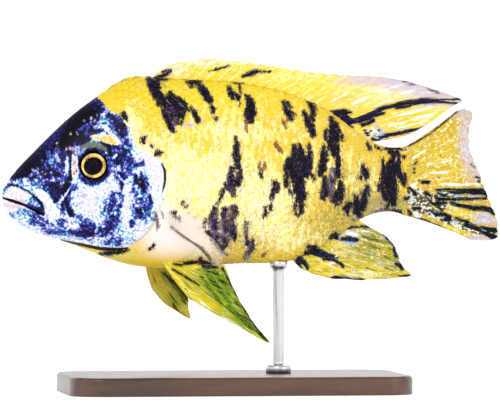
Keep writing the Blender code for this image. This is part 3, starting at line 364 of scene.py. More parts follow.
headMarks = {
    "blue": strokes("""
        32 176 5,44 172 8,56 168 10,60 152 9,66 146 5;40 184 5,50 188 7,58 190 8.4,60 198 5.4,54 203 2.8;
        66 180 4.6,67 190 4;30 201 4.2,36 203 4.8,40 208 3.8,42 213 1.8;10 213 1.4,13 216 1.6;21 210 1.3,
        27 211 1.8;17 211 0.8,24 214 0.8;30 215 1.4,36 218 1.7,31 224 1.8,38 223 2.2,44 226 2;26 207 1.3,
        34 213 1.3,43 220 1.4,52 226 2;43 229 2.2,48 232 2.8,56 232 2.8,64 233 1.9;62 222 4.6,60 228 3.8;
        70 232 2.2,80 234 3.8,90 234 5.8,100 233 6,108 228 6,113 222 4.6;83 226 4.8,90 224 3.2,95 230 4;
        74 216 2,80 218 3,86 221 4.4;28 178 2.4,34 182 3.2,42 187 3.2,48 190 3;67 198 3.4,64 204 4.2,
        68 209 4.8,70 214 3.8,62 213 2.2;112 196 3.2,113 204 4.4,111 212 4.2,110 220 4.2,106 225 2.8;
        105 200 1.8,106 208 2.2,103 213 1.8;117 205 2.8,118 212 2.2,117 220 2.4,120 222 1.8;122 196 2.2,
        121 206 1.6;113 148 5,118 155 6,116 165 7,119 174 6;126 150 4.8,127 158 5,125 168 5,123 178 4.4,
        123 186 2.8;108 172 2.8,112 178 1.8;131 164 3.8,130 172 3.2;108 115 2.8,113 120 4.4,118 128 4.8,
        121 136 3.8;126 142 3.8,130 148 2.8;121 116 2.8,123 126 2.8,126 134 2.8;137 176 2.8,138 184 2.8;
        143 176 2.8,145 184 3.8,144 192 2.8;134 184 1.3,133 192 1.5;148 194 2.2,150 202 2.4,148 212 2.4;
        145 200 2.2,144 206 2.2;133 206 1.3,133 214 1.5;137 213 1.8,142 216 2.4;131 222 1.4,131 226 1.1;
        146 218 1.8,147 224 1.3;136 196 2.4,142 200 2.8,149 200 2.4;134 208 1.8,140 210 3.2,147 210 3.2,
        151 206 2;136 217 2.2,143 217 3,149 214 2.2;139 165 2.2,143 163 1.8;132 160 2.4,136 164 1.8;
        150 186 0.9;106 243 1.8,112 241 3.2,120 239 3.2,118 244 2.2;100 254 1,108 254 2.2,116 252 1.8,
        124 251 1.5;155 214 1.8,154 220 2.8,157 226 2.4,157 231 0.9;160 211 0.9,164 220 0.9;84 122 8,
        94 118 6,80 132 6;90 125 5,72 134 6,64 146 6;86 113 3;68 136 2.4,76 131 2.6,84 127 3"""),
    "cyan": strokes("""
        48 152 2.4,52 164 3,60 170 2;30 176 2,36 170 1.8,43 182 2.4;24 184 1.8,30 188 1.4;68 164 1,
        62 186 1.6;84 150 0.8;92 120 1.4,86 134 1.8;128 156 1.4,124 166 1.4,128 186 1.4;112 150 1.6,
        120 152 1.2;146 190 1,144 168 1,150 210 1;96 236 2,104 232 1.6;118 204 1.2,108 218 1.4;36 182 4.2,
        40 187 3.2;57 150 3.4,55 158 4,60 162 2;63 168 1.6,62 174 1;45 163 1.3,47 169 1.2;51 173 1.8;
        53 179 2.2;33 202 3,35 205 1.4;66 224 3.4,59 228 2.6;75 225 5.4;96 127 2.4,101 123 3.4,
        105 122 2.6;83 128 1.8;110 120 0.9,114 127 1.3;119 128 0.8,121 143 1.1;76 132 1.6,82 128 2.4,
        88 124 1.8;113 158 1.6,116 155 1.6;119 168 2,113 176 2.4;137 201 2.4,142 204 2.2,146 196 1.4;
        108 119 0.9,112 126 1.3,116 133 1.1,119 141 0.9;111 118 0.7,116 125 1.1;131 172 2.2,128 178 1.4;
        135 200 3.4,140 203 3,133 209 1.4;74 204 1.6;113 242 2.6,120 238 2.4;72 237 1.6,82 240 1.6;
        146 222 1.6;46 188 1.6;120 191 0.9;31 200 1.8,35 202.5 2.8,38 206 2;41 176 1.4;67 160 1.6,
        66 168 1.2;107 181 2,116 183 1.6;136 191 1.4;126 147 1.4,129 149 1;129 164 1,133 166 0.9;
        70 219 1.2,78 219 1.4;50 226 2"""),
    "white": strokes("""
        75 157 1.8,75.6 166 2.4,76 177 2;67 156 0.6,66.5 172 1.3;99 127 1,105 127 2.2,109 131 2,
        114 137 1.8,118 142 1.8;104 114.5 1.9;38 190.5 2,43 194.5 3.6,47.5 201 4.2,51 208 4.8,55 213 5,
        52 218 3.6;25 180 2.4,26.5 183 1.6;53 179 1.3;51 172 0.9;103 207 1.3;115 213 1.6;104 226 1.5;
        97 227 0.8,96 232 0.8;111 231 0.9;109 157 0.9;108 163 0.8;106 153 0.8;114 157 1.2,117 154 1;
        119 167 1.3;113 166 0.8;125 147 1.1;60 202 1.6,66 194 1,70 188 1.2;74 182 1.8;80 120 0.7;
        42 160 1.4;65 217 0.8,70 218.5 1.1;112 174 1.4,110 180 1.8,115 186 2;126 183 1.4,125 192 2;
        36 180 1;57 157 1;76 226 2.6;137 170 1.6,139 178 0.8;139 196 1.6;143 211 1.2;13 210 0.9;
        136 186 1.4;127 190 1.4,126 204 1.8,127 220 1.6;140 152 1.6,149 162 2.4,156 172 2.2;152 166 2,
        157 180 1.8,155 192 1.2;139 222 1.6,143 230 1.4;158 200 1;98 150 0.6,122 172 0.7,110 168 0.8;
        30 182 0.9,27 178 0.7;38 192 1;62 196 0.9,70 226 0.8;88 238 0.9,104 238 0.8;119 176 1.2,
        130 190 0.9;68 243 0.6,84 241 0.7"""),
}
headLoop = table("""
    -30 150, 60 90, 97 97, 104 103, 106 108, 110 111, 119 115, 124 121, 129 128, 133 140, 137 149,
    150 154, 160 159, 165 166, 166 180, 165 195, 160 210, 155 221, 146 235, 131 246, 118 249.5, 98 248,
    80 244, 61 240.5, 40 252, -30 250""")


def tint(*screen):  # a screen colour as light
    return tuple(((v / 255 + 0.055) / 1.055) ** 2.4 if v > 10 else v / 255 / 12.92 for v in screen)


# The blue 128 138 206 is used only for the painted shade under the upper lip.
colours = {name: tint(*(int(v) for v in values)) for name, *values in (
    row.split() for row in """
    lemon 236 212 40, golden 228 194 62, cream 250 240 184, creamPink 248 230 202, pink 248 232 226,
    deepYellow 236 202 30, throat 236 228 130, orange 230 178 56, navy 26 20 74, black 12 8 16,
    ink 8 4 12, cyan 104 172 218, white 250 250 252, paleLilac 234 228 242, greyLilac 186 180 198,
    lilac 206 190 218, mauve 84 62 96, brown 134 66 26, olive 132 128 44, oliveGrey 128 122 76,
    oliveGreen 112 122 50, gritGrey 140 134 104, green 98 136 24, darkGreen 22 42 14, grey 214 206 196,
    haze 128 138 206, teal 52 88 104, slate 84 98 92, violet 84 62 132, umber 112 92 58,
    mustard 198 164 44, darkOlive 118 116 34, oliveYellow 214 194 40, rose 236 196 204,
    paleViolet 138 112 190, milk 240 230 122, frost 206 213 234, lavender 152 154 212, sky 140 196 226,
    iris 84 88 180, lagoon 64 134 188, royal 44 56 146, indigo 36 28 102, midnight 14 10 40,
    gold 226 176 58, paleGold 255 236 150, bronze 110 62 22, heartwood 52 30 20, sapwood 96 58 36,
    pore 30 17 12""".split(","))}
skinPaint = patches("""
    215 90 120 26 lemon 0.9, 200 165 60 40 lemon 0.6, 300 262 50 10 deepYellow 0.5,
    128 92 30 14 deepYellow 0.4, 180 232 36 22 pink 1, 168 212 20 24 pink 1, 205 240 18 16 pink 0.8,
    160 238 14 16 pink 0.9, 412 180 10 40 lemon 0.7, 132 138 8 20 cream 0.9, 146 151 12 8 creamPink 0.8,
    392 207 24 6 throat 0.8, 150 264 32 6 deepYellow 0.9, 172 240 20 14 pink 0.8,
    185 264 22 6 deepYellow 0.7, 95 255 34 6 throat 0.95""")
# The grey-lilac patch at 24 201 and the blue patch at 35 205 are painted shade under the upper lip.
headPaint = patches("""
    20 196 18 10 rose 0.55, 16 206 16 4 rose 0.8, 90 204 18 18 paleLilac 0.9, 90 204 18 18 greyLilac 0.25,
    104 140 14 6 cream 0.9, 112 134 8 8 creamPink 0.5, 76 166 6 14 rose 0.8, 152 175 14 26 paleLilac 0.8,
    140 238 16 10 paleLilac 0.8, 68 166 3 14 cream 0.8, 132 200 16 34 paleLilac 0.7,
    158 215 8 20 pink 0.8, 24 201 12 1.6 greyLilac 0.9, 35 205 6 4 haze 0.8, 14 206.5 12 2 rose 1,
    30 193 8 2 greyLilac 0.5""")
# Soft fields: centre across and down, reach across and down, weight
shadeField = table("""
    90 190 120 120 0.06, 40 168 28 24 0.42, 62 190 14 16 0.28, 84 122 26 18 0.5, 118 128 12 18 0.36,
    121 162 13 24 0.3, 142 190 9 24 0.26, 142 208 9 16 0.08, 88 232 36 9 0.36, 112 212 12 16 0.24,
    36 218 24 9 0.28, 116 243 14 5 0.22, 90 152 22 14 0.42, 90 204 13 12 -0.08, 156 172 9 22 -0.16,
    127 206 5 30 -0.12, 16 194 13 7 -0.42, 34 203 8 5 -0.3, 48 204 6 10 -0.35, 142 234 12 8 -0.06,
    104 138 14 4 -0.4, 74 166 6 13 -0.45, 24 180 12 5 0.25, 130 205 12 30 0.08""")
creamField = table("""
    222 172 58 42 0.8, 190 200 32 34 0.7, 265 212 40 30 0.8, 330 168 46 38 0.5, 245 128 60 14 0.45,
    235 100 90 20 0.25, 300 240 60 18 0.5, 130 130 10 24 0.9, 150 140 20 12 0.5, 375 190 20 30 0.4,
    176 236 26 20 -2.4, 172 175 14 40 0.5""")
gritField = table("""
    368 178 26 36 1, 385 206 30 12 1.8, 330 180 30 38 0.9, 250 248 34 16 0.9, 176 238 24 20 -0.8,
    340 226 34 20 1.2, 300 225 60 24 0.5, 222 150 60 20 -0.4, 228 228 20 26 0.9, 402 190 8 30 0.6""")


def fieldAt(px, py, blobs):
    return sum(weight * np.exp(-((px - cx) / rx) ** 2 - ((py - cy) / ry) ** 2)
               for cx, cy, rx, ry, weight in blobs)


def paintOver(px, py, paint, blobs):
    for cx, cy, rx, ry, name, strength in blobs:
        share = (strength * np.exp(-((px - cx) / rx) ** 2 - ((py - cy) / ry) ** 2))[..., None]
        paint = paint + (np.array(colours[name]) - paint) * share
    return paint


def markSkin(points):  # everything that is painted on skin and scales, at each point
    px, py = foldedPlace(points)
    plain = np.zeros(px.shape + (3,))
    found = {"paint": paintOver(px, py, plain + colours["golden"], skinPaint),
             "pale": paintOver(px, py, plain + colours["white"], headPaint),
             "head": loopDepth(px, py, headLoop),
             "cream": fieldAt(px, py, creamField), "grit": fieldAt(px, py, gritField)}
    dark = [s for name in ("shoulder", "flank", "tailStalk", "lower") for s in darkMarks[name]]
    for name, marks in {"dark": dark, **skinMarks}.items():
        found[name] = strokeDepth(px, py, marks)
    blue, cyan, white = (strokeDepth(px, py, headMarks[name]) for name in ("blue", "cyan", "white"))
    black = strokeDepth(px, py, darkMarks["face"])
    ring = eye["ringPixels"] - np.hypot(px - eyePlace[0], py - eyePlace[1])
    shade = fieldAt(px, py, shadeField) + 0.38 * ledge(blue, -1.6, 1.4) + 0.10 * ledge(blue, 1, 5)
    shade += 0.62 * ledge(black, -1.4, 1.8) + 0.5 * ledge(ring, -1.0, 1.2)
    shade = np.minimum(shade, 1.25)
    shade += (0.32 - shade) * 0.72 * ledge(cyan, -1.2, 1.2)
    found["shade"] = shade + (-0.06 - shade) * 0.86 * ledge(white, -1.0, 1.2)
    return found


# Meshes

def addObject(name, data):
    made = bpy.data.objects.new(name, data)
    bpy.context.scene.collection.objects.link(made)
    return made


def turnOutward(mesh):  # drops points that no face uses and turns every face outward
    shape = bmesh.new()
    shape.from_mesh(mesh)
    bmesh.ops.delete(shape, geom=[v for v in shape.verts if not v.link_faces], context="VERTS")
    bmesh.ops.recalc_face_normals(shape, faces=shape.faces)
    shape.to_mesh(mesh)
    shape.free()
    mesh.shade_smooth()


def meshObject(name, points, faces):
    mesh = bpy.data.meshes.new(name)
    mesh.from_pydata((np.asarray(points) * mm - np.array([middleX * mm, 0, 0])).tolist(), [], faces)
    turnOutward(mesh)
    return addObject(name, mesh)


def setValues(mesh, name, values, kind="FLOAT", field="value"):
    attribute = mesh.attributes.new(name, kind, "POINT")
    attribute.data.foreach_set(field, np.asarray(values, np.float32).ravel())


def setMarks(piece, marks):  # a colour has three numbers for each point, any other mark has one
    for name, values in marks.items():
        if np.ndim(values) == 2:
            whole = np.column_stack([values, np.ones(len(values))])
            setValues(piece.data, name, whole, "FLOAT_COLOR", "color")
        else:
            setValues(piece.data, name, values)


def gridFaces(rows, columns, wrap=False, start=0):
    r, c = np.meshgrid(np.arange(rows - 1), np.arange(columns if wrap else columns - 1), indexing="ij")
    n = (c + 1) % columns
    quads = np.stack([r * columns + c, (r + 1) * columns + c, (r + 1) * columns + n, r * columns + n], -1)
    return (quads.reshape(-1, 4) + start).tolist()


def gridRim(rows, columns):  # the points round the edge of a grid, in order
    return ([i * columns for i in range(rows)] + [(rows - 1) * columns + j for j in range(1, columns)]
            + [i * columns + columns - 1 for i in range(rows - 2, -1, -1)] + list(range(columns - 2, 0, -1)))


def capFaces(rows, columns, low, high):  # closes both ends of a wrapped grid round the points low and high
    last = (rows - 1) * columns
    turns = [(k, (k + 1) % columns) for k in range(columns)]
    return [face for k, n in turns for face in ([low, k, n], [high, last + n, last + k])]


def dress(piece, material, slot, *nodes):
    piece.data.materials.clear()
    piece.data.materials.append(material)
    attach(piece, "root")
    if nodes:
        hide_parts(*nodes)


def newMeshFrom(piece, name):  # the evaluated piece as a plain mesh object, with the first one removed
    graph = bpy.context.evaluated_depsgraph_get()
    mesh = bpy.data.meshes.new_from_object(piece.evaluated_get(graph))
    mesh.name = name
    bpy.data.objects.remove(piece)
    return addObject(name, mesh)


# Shader maths

class Value:
    def __init__(self, finish, socket):
        self.finish, self.socket = finish, socket

    def maths(self, operation, *others):
        return self.finish.node("ShaderNodeMath", {"operation": operation}, dict(enumerate((self, *others))))

    def step(self, low, high):  # 0 below low, 1 above high, smooth between
        return self.finish.node("ShaderNodeMapRange", {"interpolation_type": "SMOOTHSTEP"},
                                {"Value": self, "From Min": low, "From Max": high})

    def __add__(self, other):
        return self.maths("ADD", other)

    def __sub__(self, other):
        return self.maths("SUBTRACT", other)

    def __rsub__(self, other):
        return self.finish.node("ShaderNodeMath", {"operation": "SUBTRACT"}, {0: other, 1: self})

    def __mul__(self, other):
        return self.maths("MULTIPLY", other)

    __radd__, __rmul__ = __add__, __mul__


class Finish:
    def __init__(self, name, **settings):
        self.material = bpy.data.materials.new(name)
        self.material.use_nodes = True
        self.tree = self.material.node_tree
        self.shader = self.tree.nodes["Principled BSDF"]
        for socket, value in settings.items():
            self.feed(socket.replace("_", " "), value)

    def node(self, kind, settings=None, sockets=None, out=0):
        made = self.tree.nodes.new(kind)
        for name, value in (settings or {}).items():
            setattr(made, name, value)
        for name, value in (sockets or {}).items():
            self.put(made.inputs[name], value)
        return Value(self, made.outputs[out])

    def put(self, socket, value):  # a link, the name of a colour, or a plain value
        if isinstance(value, Value):
            self.tree.links.new(value.socket, socket)
            return
        if isinstance(value, str):
            value = colours[value]
        socket.default_value = (*value, 1.0) if socket.type == "RGBA" and len(value) == 3 else value

    def feed(self, socket, value):
        self.put(self.shader.inputs[socket], value)

    def mix(self, share, first, second):
        return self.node("ShaderNodeMix", {"data_type": "RGBA"}, {0: share, 6: first, 7: second}, 2)

    def ramp(self, value, stops):  # colours in turn as the value grows past each stop
        colour = stops[0][1]
        for (low, _), (high, top) in zip(stops[:-1], stops[1:]):
            colour = self.mix(value.step(low, high), colour, top)
        return colour

    def attribute(self, name, out="Fac"):
        return self.node("ShaderNodeAttribute", {"attribute_name": name}, out=out)

    def over(self, colour, mark, edge, top, strength=1.0, low=-0.5, high=0.6):  # a mark with a ragged edge
        return self.mix((self.attribute(mark) + edge).step(low, high) * strength, colour, top)

    def place(self, scale=(1, 1, 1)):
        start = self.node("ShaderNodeTexCoord", out="Object")
        return self.node("ShaderNodeMapping", sockets={"Vector": start, "Scale": scale})

    def noise(self, place, scale, detail=3.0, rough=0.55):
        return self.node("ShaderNodeTexNoise", sockets={"Vector": place, "Scale": scale, "Detail": detail,
                                                        "Roughness": rough}, out="Fac")

    def speckle(self, place, scale, detail, rough=0.6):  # noise about 0
        return self.noise(place, scale, detail, rough) - 0.5

    def bump(self, height, distance, strength):
        self.feed("Normal", self.node("ShaderNodeBump", sockets={"Height": height, "Distance": distance,
                                                                 "Strength": strength}, out="Normal"))


wet = {"Specular_IOR_Level": 0.08, "Coat_Weight": 0.02}  # the low gloss that skin, scales and fins share


# The shared markings include painted shade under the upper lip, in the nostril's pit, in the cleft between
# the lips and along the near pelvic fin's root.
def paintedColour(finish):  # the markings that skin and scales share
    place, upright = finish.place(), finish.place((1.0, 1.0, 0.42))
    wide, coarse = finish.speckle(upright, 800, 3), finish.speckle(upright, 1400, 4, 0.68)
    fine, grain = finish.speckle(upright, 3300, 3, 0.62), finish.speckle(place, 2300, 3)
    hue, cells = finish.speckle(place, 420, 3), finish.speckle(place, 1500, 1, 0.5)
    edge = coarse * 8 + fine * 7 + grain * 2.5

    cream = (wide * 1.2 + fine * 0.65 + grain * 0.5 + finish.attribute("cream") * 0.46).step(0.14, 0.38)
    tan = (wide * 0.8 - coarse * 0.9 + grain * 0.5).step(0.08, 0.22) * (1 - cream)
    tan = tan * (finish.attribute("cream") + 1).step(0, 0.6)
    colour = finish.mix(tan * 0.5, finish.attribute("paint", "Color"),
                        finish.mix(hue.step(-0.05, 0.08), "mustard", "orange"))
    milk = coarse * 1.2 + wide + grain * 0.5
    milk = finish.ramp(milk, [(-0.12, "creamPink"), (0.02, "cream"), (0.16, "milk")])
    colour = finish.mix(cream, colour, milk)
    near = (finish.attribute("dark") + coarse * 8).step(-7, 0)
    grit = coarse * 0.9 + fine * 1.1 + grain * 0.5 + finish.attribute("grit") * 0.20 + near * 0.12
    speck = finish.ramp(grain + wide, [(-0.2, "mauve"), (-0.06, "gritGrey"), (0.1, "olive")])
    colour = finish.mix(grit.step(0.24, 0.36) * 0.75, colour, speck)
    halo = finish.mix(grain.step(-0.05, 0.05), "mauve", "oliveGrey")
    colour = finish.over(colour, "dark", edge, halo, 0.6, -2.6, -0.4)

    shade = finish.attribute("shade") + cells * 1.25 + grain * 0.6 + fine * 0.4
    turn = (hue + cells * 0.4).step(-0.06, 0.06)
    pale = finish.mix((cells - grain).step(-0.05, 0.12) * 0.7, finish.attribute("pale", "Color"), "greyLilac")
    head = finish.ramp(shade, [
        (0.04, pale), (0.18, "frost"), (0.31, finish.mix(turn, "lavender", "sky")),
        (0.44, finish.mix(turn, "iris", "lagoon")), (0.57, "royal"), (0.71, "indigo"), (0.88, "midnight"),
        (1.0, "black")])
    colour = finish.over(colour, "head", edge * 0.8, head)

    violet = finish.mix((fine + grain).step(-0.05, 0.06), "paleViolet", "lilac")
    colour = finish.over(colour, "violet", edge * 0.6, violet, 0.9)
    mottled = finish.ramp(coarse + fine * 0.5 + cells * 0.4, [
        (-0.2, "navy"), (-0.12, "violet"), (-0.05, "ink"), (0.02, "mauve"), (0.08, "oliveGrey"),
        (0.14, "lilac")])
    colour = finish.over(colour, "mottled", edge, mottled, 0.9)
    brown = finish.mix((fine + grain).step(0.0, 0.08) * 0.8, "brown", "mauve")
    colour = finish.over(colour, "brown", edge * 0.9, brown, 0.95, -1.1, 0.1)
    ink = finish.mix((hue + fine * 0.5).step(0.02, 0.2) * 0.7, "black", "navy")
    flecks = grain + fine + coarse * 0.5 - finish.attribute("dark") * 0.012
    flecks = (flecks + finish.attribute("mottled").step(-2, 2) * 0.12).step(0.08, 0.2)
    ink = finish.mix(flecks * 0.75, ink, finish.mix((hue + coarse).step(0.01, 0.07), "violet", "umber"))
    dark = (finish.attribute("dark") + edge + 0.8).step(-0.9, 0.9)
    colour = finish.mix(dark, colour, ink)
    lid = finish.mix((coarse + fine).step(-0.06, 0.14), "oliveGreen", "slate")
    colour = finish.over(colour, "olive", edge * 0.6, lid, 0.9)
    brow = finish.mix((grain + coarse).step(-0.05, 0.1), "orange", "cream")
    colour = finish.over(colour, "warm", edge * 0.8, brow, 0.95)
    line = (finish.attribute("line") + edge * 0.12 - 0.3).step(-0.5, 0.4)
    return finish.mix(line * 0.98, colour, "ink"), dark.maths("MAXIMUM", line), cream


def skinFinish():
    finish = Finish("wetSkin", Roughness=0.40, Coat_Roughness=0.15, **wet)
    place = finish.place()
    finish.feed("Base Color", paintedColour(finish)[0])
    finish.bump(finish.noise(place, 2400) * 0.6 + finish.noise(place, 600, 2) * 0.6, 0.00012, 0.6)
    return finish.material


def scaleFinish():
    finish = Finish("wetScales", Roughness=0.38, Coat_Roughness=0.15, **wet)
    colour, dark, cream = paintedColour(finish)
    along, across = finish.attribute("scaleAlong"), finish.attribute("scaleAcross")
    wander = finish.speckle(finish.place((1, 1, 0.5)), 1700, 3)
    centre = (1 - across.maths("ABSOLUTE") * 2.6) * (1 - (along - 0.62).maths("ABSOLUTE") * 2.4)
    colour = finish.mix((centre + wander * 2.5).step(0.3, 0.7) * (1 - dark) * cream * 0.3, colour, "lemon")
    rim = along.step(0.78, 0.97)
    colour = finish.mix(rim * (1 - dark) * 0.22, colour, "cream")
    finish.feed("Base Color", finish.mix(rim * wander.step(0.0, 0.1) * dark * 0.3, colour, "mauve"))
    rings = (along * 60).maths("SINE")
    finish.bump(rings * 0.1 + finish.noise(finish.place(), 3000, 2) * 0.4, 0.00006, 0.5)
    return finish.material


# Skin

eye = {"x": 24.3, "z": 61.0, "radius": 4.75, "depth": 3.6, "standsOut": 0.75, "opening": 14.4,
       "ringPixels": 16.2, "iris": 3.28, "pupil": 2.46, "socket": 2.6, "lid": 0.26, "lidGroove": 0.16,
       "cornea": 0.3}
eyeSide = float(halfWidthAt(np.float64(eye["x"]), np.float64(eye["z"])))
eyePlace = photoPlace(np.array([eye["x"], -(eyeSide + eye["standsOut"] - 1.2), eye["z"]]))

face = {
    "mouth": table("-2 197.4, 2.5 198.2, 12.8 200.8, 23.6 204.3, 28 206.6, 36 211.4, 44 215"),
    "upperLip": table("-2 12.5, 6 14, 14 14.6, 24 13, 33 12, 40 9.6, 44 6, 47 0.01"),
    "lowerLip": table("-2 5.5, 10 5.6, 22 4.4, 34 3.2, 44 2, 47 0.01"),
    "upperRise": 0.62, "lowerRise": 0.42, "cleft": 1.0,
    "cheekFold": table("13 178, 24 184, 34 190, 44 200, 53 211, 58 220"),
    "foldRise": 0.28, "nostril": (43.5, 158.8), "nostrilReach": 2.3, "nostrilDepth": 0.75,
    "cover": table("""
        128 140, 140 137, 152 143, 160 155, 164.5 172, 164 190, 159 212, 150 229, 136 242, 120 246,
        108 240, 106 222, 112 200, 117 178, 119 158"""),
    "coverRise": 0.36,
    "cheekEdge": table("119 142, 121 158, 121 178, 119 200, 117 218, 108 232, 92 240, 76 240"),
    "mouthEnd": 50, "groove": 0.16, "nostrilRim": 0.16, "coverGroove": 0.22, "cheekGroove": 0.24,
}


def skinRelief(points):  # how far the skin stands from the body's formula, in millimetres
    px, py = photoPlace(points, -1)
    behind = smooth(px - scaleStart(py), -3, 3)
    relief = -body["headInset"] - (body["scaledInset"] - body["headInset"]) * behind
    relief -= body["snoutInset"] * hump(np.clip(points[..., 0] - 0.2, 0, None), 1.6)
    above, along = lineHeight(px, py, face["mouth"])
    front = smooth(face["mouthEnd"] - px, 0, 4)
    for lip, way in (("upper", 1), ("lower", -1)):
        reach = np.interp(along, *zip(*face[lip + "Lip"]))
        share = np.clip(above * way / np.maximum(reach, 0.5), 0, 1)
        swell = np.sqrt(np.clip(1 - (2 * share - 1) ** 2, 0, 1)) * (above * way > 0)
        groove = hump(above * way - reach - 0.4, 0.8)
        relief += front * (face[lip + "Rise"] * swell - face["groove"] * groove) * smooth(reach, 0, 4)
    relief -= front * face["cleft"] * hump(above, 0.75)
    fold = strokeDepth(px, py, [[(x, y, 3.2) for x, y in face["cheekFold"]]])
    relief += face["foldRise"] * smooth(fold, -0.4, 2.2)
    nostril = np.hypot(px - face["nostril"][0], py - face["nostril"][1])
    relief -= face["nostrilDepth"] * smooth(face["nostrilReach"] - nostril, 0, 1.5)
    relief += face["nostrilRim"] * hump(nostril - face["nostrilReach"] - 0.9, 0.8)
    toEye = np.hypot(px - eyePlace[0], py - eyePlace[1])
    relief -= eye["socket"] * smooth(eye["opening"] - toEye, -0.4, 1.6)
    relief += eye["lid"] * hump(toEye - eye["opening"] - 1.6, 1.3)
    relief -= eye["lidGroove"] * hump(toEye - eye["opening"] - 6, 1.8)
    cover = loopDepth(px, py, closedLoop(face["cover"], 60))
    relief += (face["coverRise"] + body["scaledInset"] * behind * 0.7) * smooth(cover, -0.3, 2.4)
    relief -= face["coverGroove"] * hump(cover + 1.2, 1.0)
    edge = strokeDepth(px, py, [[(x, y, 0.1) for x, y in face["cheekEdge"]]])
    return relief - face["cheekGroove"] * hump(edge, 1.3)


def scaleStart(py):  # how far back the scales begin at each height in the photo
    return np.interp(py, [78, 100, 120, 138, 150, 158, 170, 195, 215, 230, 244, 256, 268],
                     [98, 107, 124, 134, 150, 160, 166, 168, 184, 196, 200, 190, 168])


def arcAngles(count):  # angles from the back to the belly, spaced evenly along the skin
    fine = np.linspace(0, math.pi, 2001)
    section = bodySurface(np.full(fine.shape, 50.0), fine)
    run = np.concatenate([[0], np.cumsum(np.linalg.norm(np.diff(section, axis=0), axis=1))])
    return np.interp(np.linspace(0, run[-1], count), run, fine)


def surfaceNormals(points):
    alongX = np.gradient(points, axis=0)
    around = np.roll(points, -1, 1) - np.roll(points, 1, 1)
    normals = np.cross(around, alongX)
    return normals / np.maximum(np.linalg.norm(normals, axis=-1, keepdims=True), 1e-9)


def buildSkin():
    snout = 0.2 + 3.0 * (np.arange(46) / 45) ** 2
    xs = np.concatenate([snout, np.arange(3.33, 44.5, 0.23), np.arange(44.9, 110.3, 0.40), [110.5]])
    half = arcAngles(body["around"] // 2 + 1)
    angles = np.concatenate([half, 2 * math.pi - half[-2:0:-1]])
    points = bodySurface(*np.meshgrid(xs, angles, indexing="ij"))
    normals = surfaceNormals(points)
    outward = points - points.mean(1, keepdims=True)
    normals *= np.sign((normals * outward).sum(-1).mean())
    points = points + normals * skinRelief(points)[..., None]
    rows, columns = points.shape[:2]
    flat = np.concatenate([points.reshape(-1, 3), [points[0].mean(0), points[-1].mean(0)]])
    faces = gridFaces(rows, columns, wrap=True) + capFaces(rows, columns, rows * columns, rows * columns + 1)
    skin = meshObject("skin", flat, faces)
    setMarks(skin, markSkin(flat))
    dress(skin, skinFinish(), "body_skin", "head", "lower_jaw", "gill_cover_left", "gill_cover_right",
          "torso", "tail_stalk")
    print("skin", len(flat), "points")
    return angles


# Scales

scales = {"rows": 29, "first": 26.0, "last": 110.0, "length": 0.80, "overlap": 1.75, "width": 1.22,
          "thickness": 0.07, "lift": 0.10, "sink": -0.10, "arch": 0.05, "sway": 0.035, "variation": 0.03,
          "patch": 0.003, "vaneRows": 6, "vaneColumns": 5, "seed": 4}


def scaleVane():  # one scale, a unit long and wide, rounded at its free end
    rows, columns = scales["vaneRows"], scales["vaneColumns"]
    widest = 0.55
    top = []
    for along in np.linspace(0, 1, rows):
        reach = 0.36 + 0.14 * math.sin(along * 2.2) if along < widest else 0.5 * math.sqrt(
            1 - ((along - widest) / 0.47) ** 2)
        for side in np.linspace(-1, 1, columns):
            height = scales["sink"] + (scales["lift"] - scales["sink"]) * along
            height += scales["arch"] * (1 - side * side)
            top.append((along - 0.048 * side ** 2 * (along > 0.5), side * reach, height))
    points = np.array(top + [(x, y, z - scales["thickness"]) for x, y, z in top])
    count, rim = len(top), gridRim(rows, columns)
    faces = [f[::-1] for f in gridFaces(rows, columns)] + [[count + k for k in rim]]
    faces += [[a, b, count + b, count + a] for a, b in zip(rim, rim[1:] + rim[:1])]
    mesh = bpy.data.meshes.new("scaleVane")
    mesh.from_pydata((points * np.array([1, 1, mm])).tolist(), [], faces)
    setValues(mesh, "scaleAlong", points[:, 0])
    setValues(mesh, "scaleAcross", points[:, 1])
    turnOutward(mesh)
    return addObject("scaleVane", mesh)


def scaleRoots(angles, side):  # where each scale is rooted, how it is turned and how large it is
    half = angles[:len(angles) // 2 + 1]
    shares = np.linspace(0, 1, len(half))
    chance = np.random.default_rng(scales["seed"] + side)
    roots, turns, sizes, unwrapped = [], [], [], []
    x, column = scales["first"], 0
    while x < scales["last"]:
        section = bodySurface(np.full(half.shape, x), half)
        spacing = np.linalg.norm(np.diff(section, axis=0), axis=1).sum() / scales["rows"]
        for row in range(scales["rows"]):
            share = (row + (0.5 if column % 2 else 0.0) + 0.25) / scales["rows"]
            if share > 0.995:
                continue
            angle = np.interp(share, shares, half)
            at = bodySurface(np.array([x - 0.05, x + 0.05, x, x]),
                             side * np.array([angle, angle, angle - 0.01, angle + 0.01]))
            along = Vector(at[1] - at[0]).normalized()
            around = Vector(at[3] - at[2]).normalized()
            normal = along.cross(around) * side
            if normal.dot(Vector((0, at[0][1], at[0][2] - 58))) < 0:
                normal.negate()
            root = Vector((at[0] + at[1]) / 2) - normal * body["scaledInset"]
            px, py = photoPlace(np.array(root), -1)
            if px < scaleStart(py) + 0.5:
                continue
            along = (along + normal.cross(along) * chance.normal(0, scales["sway"])).normalized()
            grown = 1 + chance.normal(0, scales["variation"])
            raised = (0.8 + 0.4 * min(spacing / 2.6, 1)) * (0.5 + 0.5 * float(smooth(px, 130, 210)))
            roots.append(((root[0] - middleX) * mm, root[1] * mm, root[2] * mm))
            turns.append(tuple(Matrix((along, normal.cross(along), normal)).transposed().to_euler()))
            sizes.append((spacing * scales["length"] * scales["overlap"] * grown * mm,
                          spacing * scales["width"] * grown * mm, raised))
            unwrapped.append((0.02 + 0.96 * x / 112, 0.5 + side * 0.48 * share))
        x += spacing * scales["length"]
        column += 1
    return roots, turns, sizes, np.array(unwrapped)


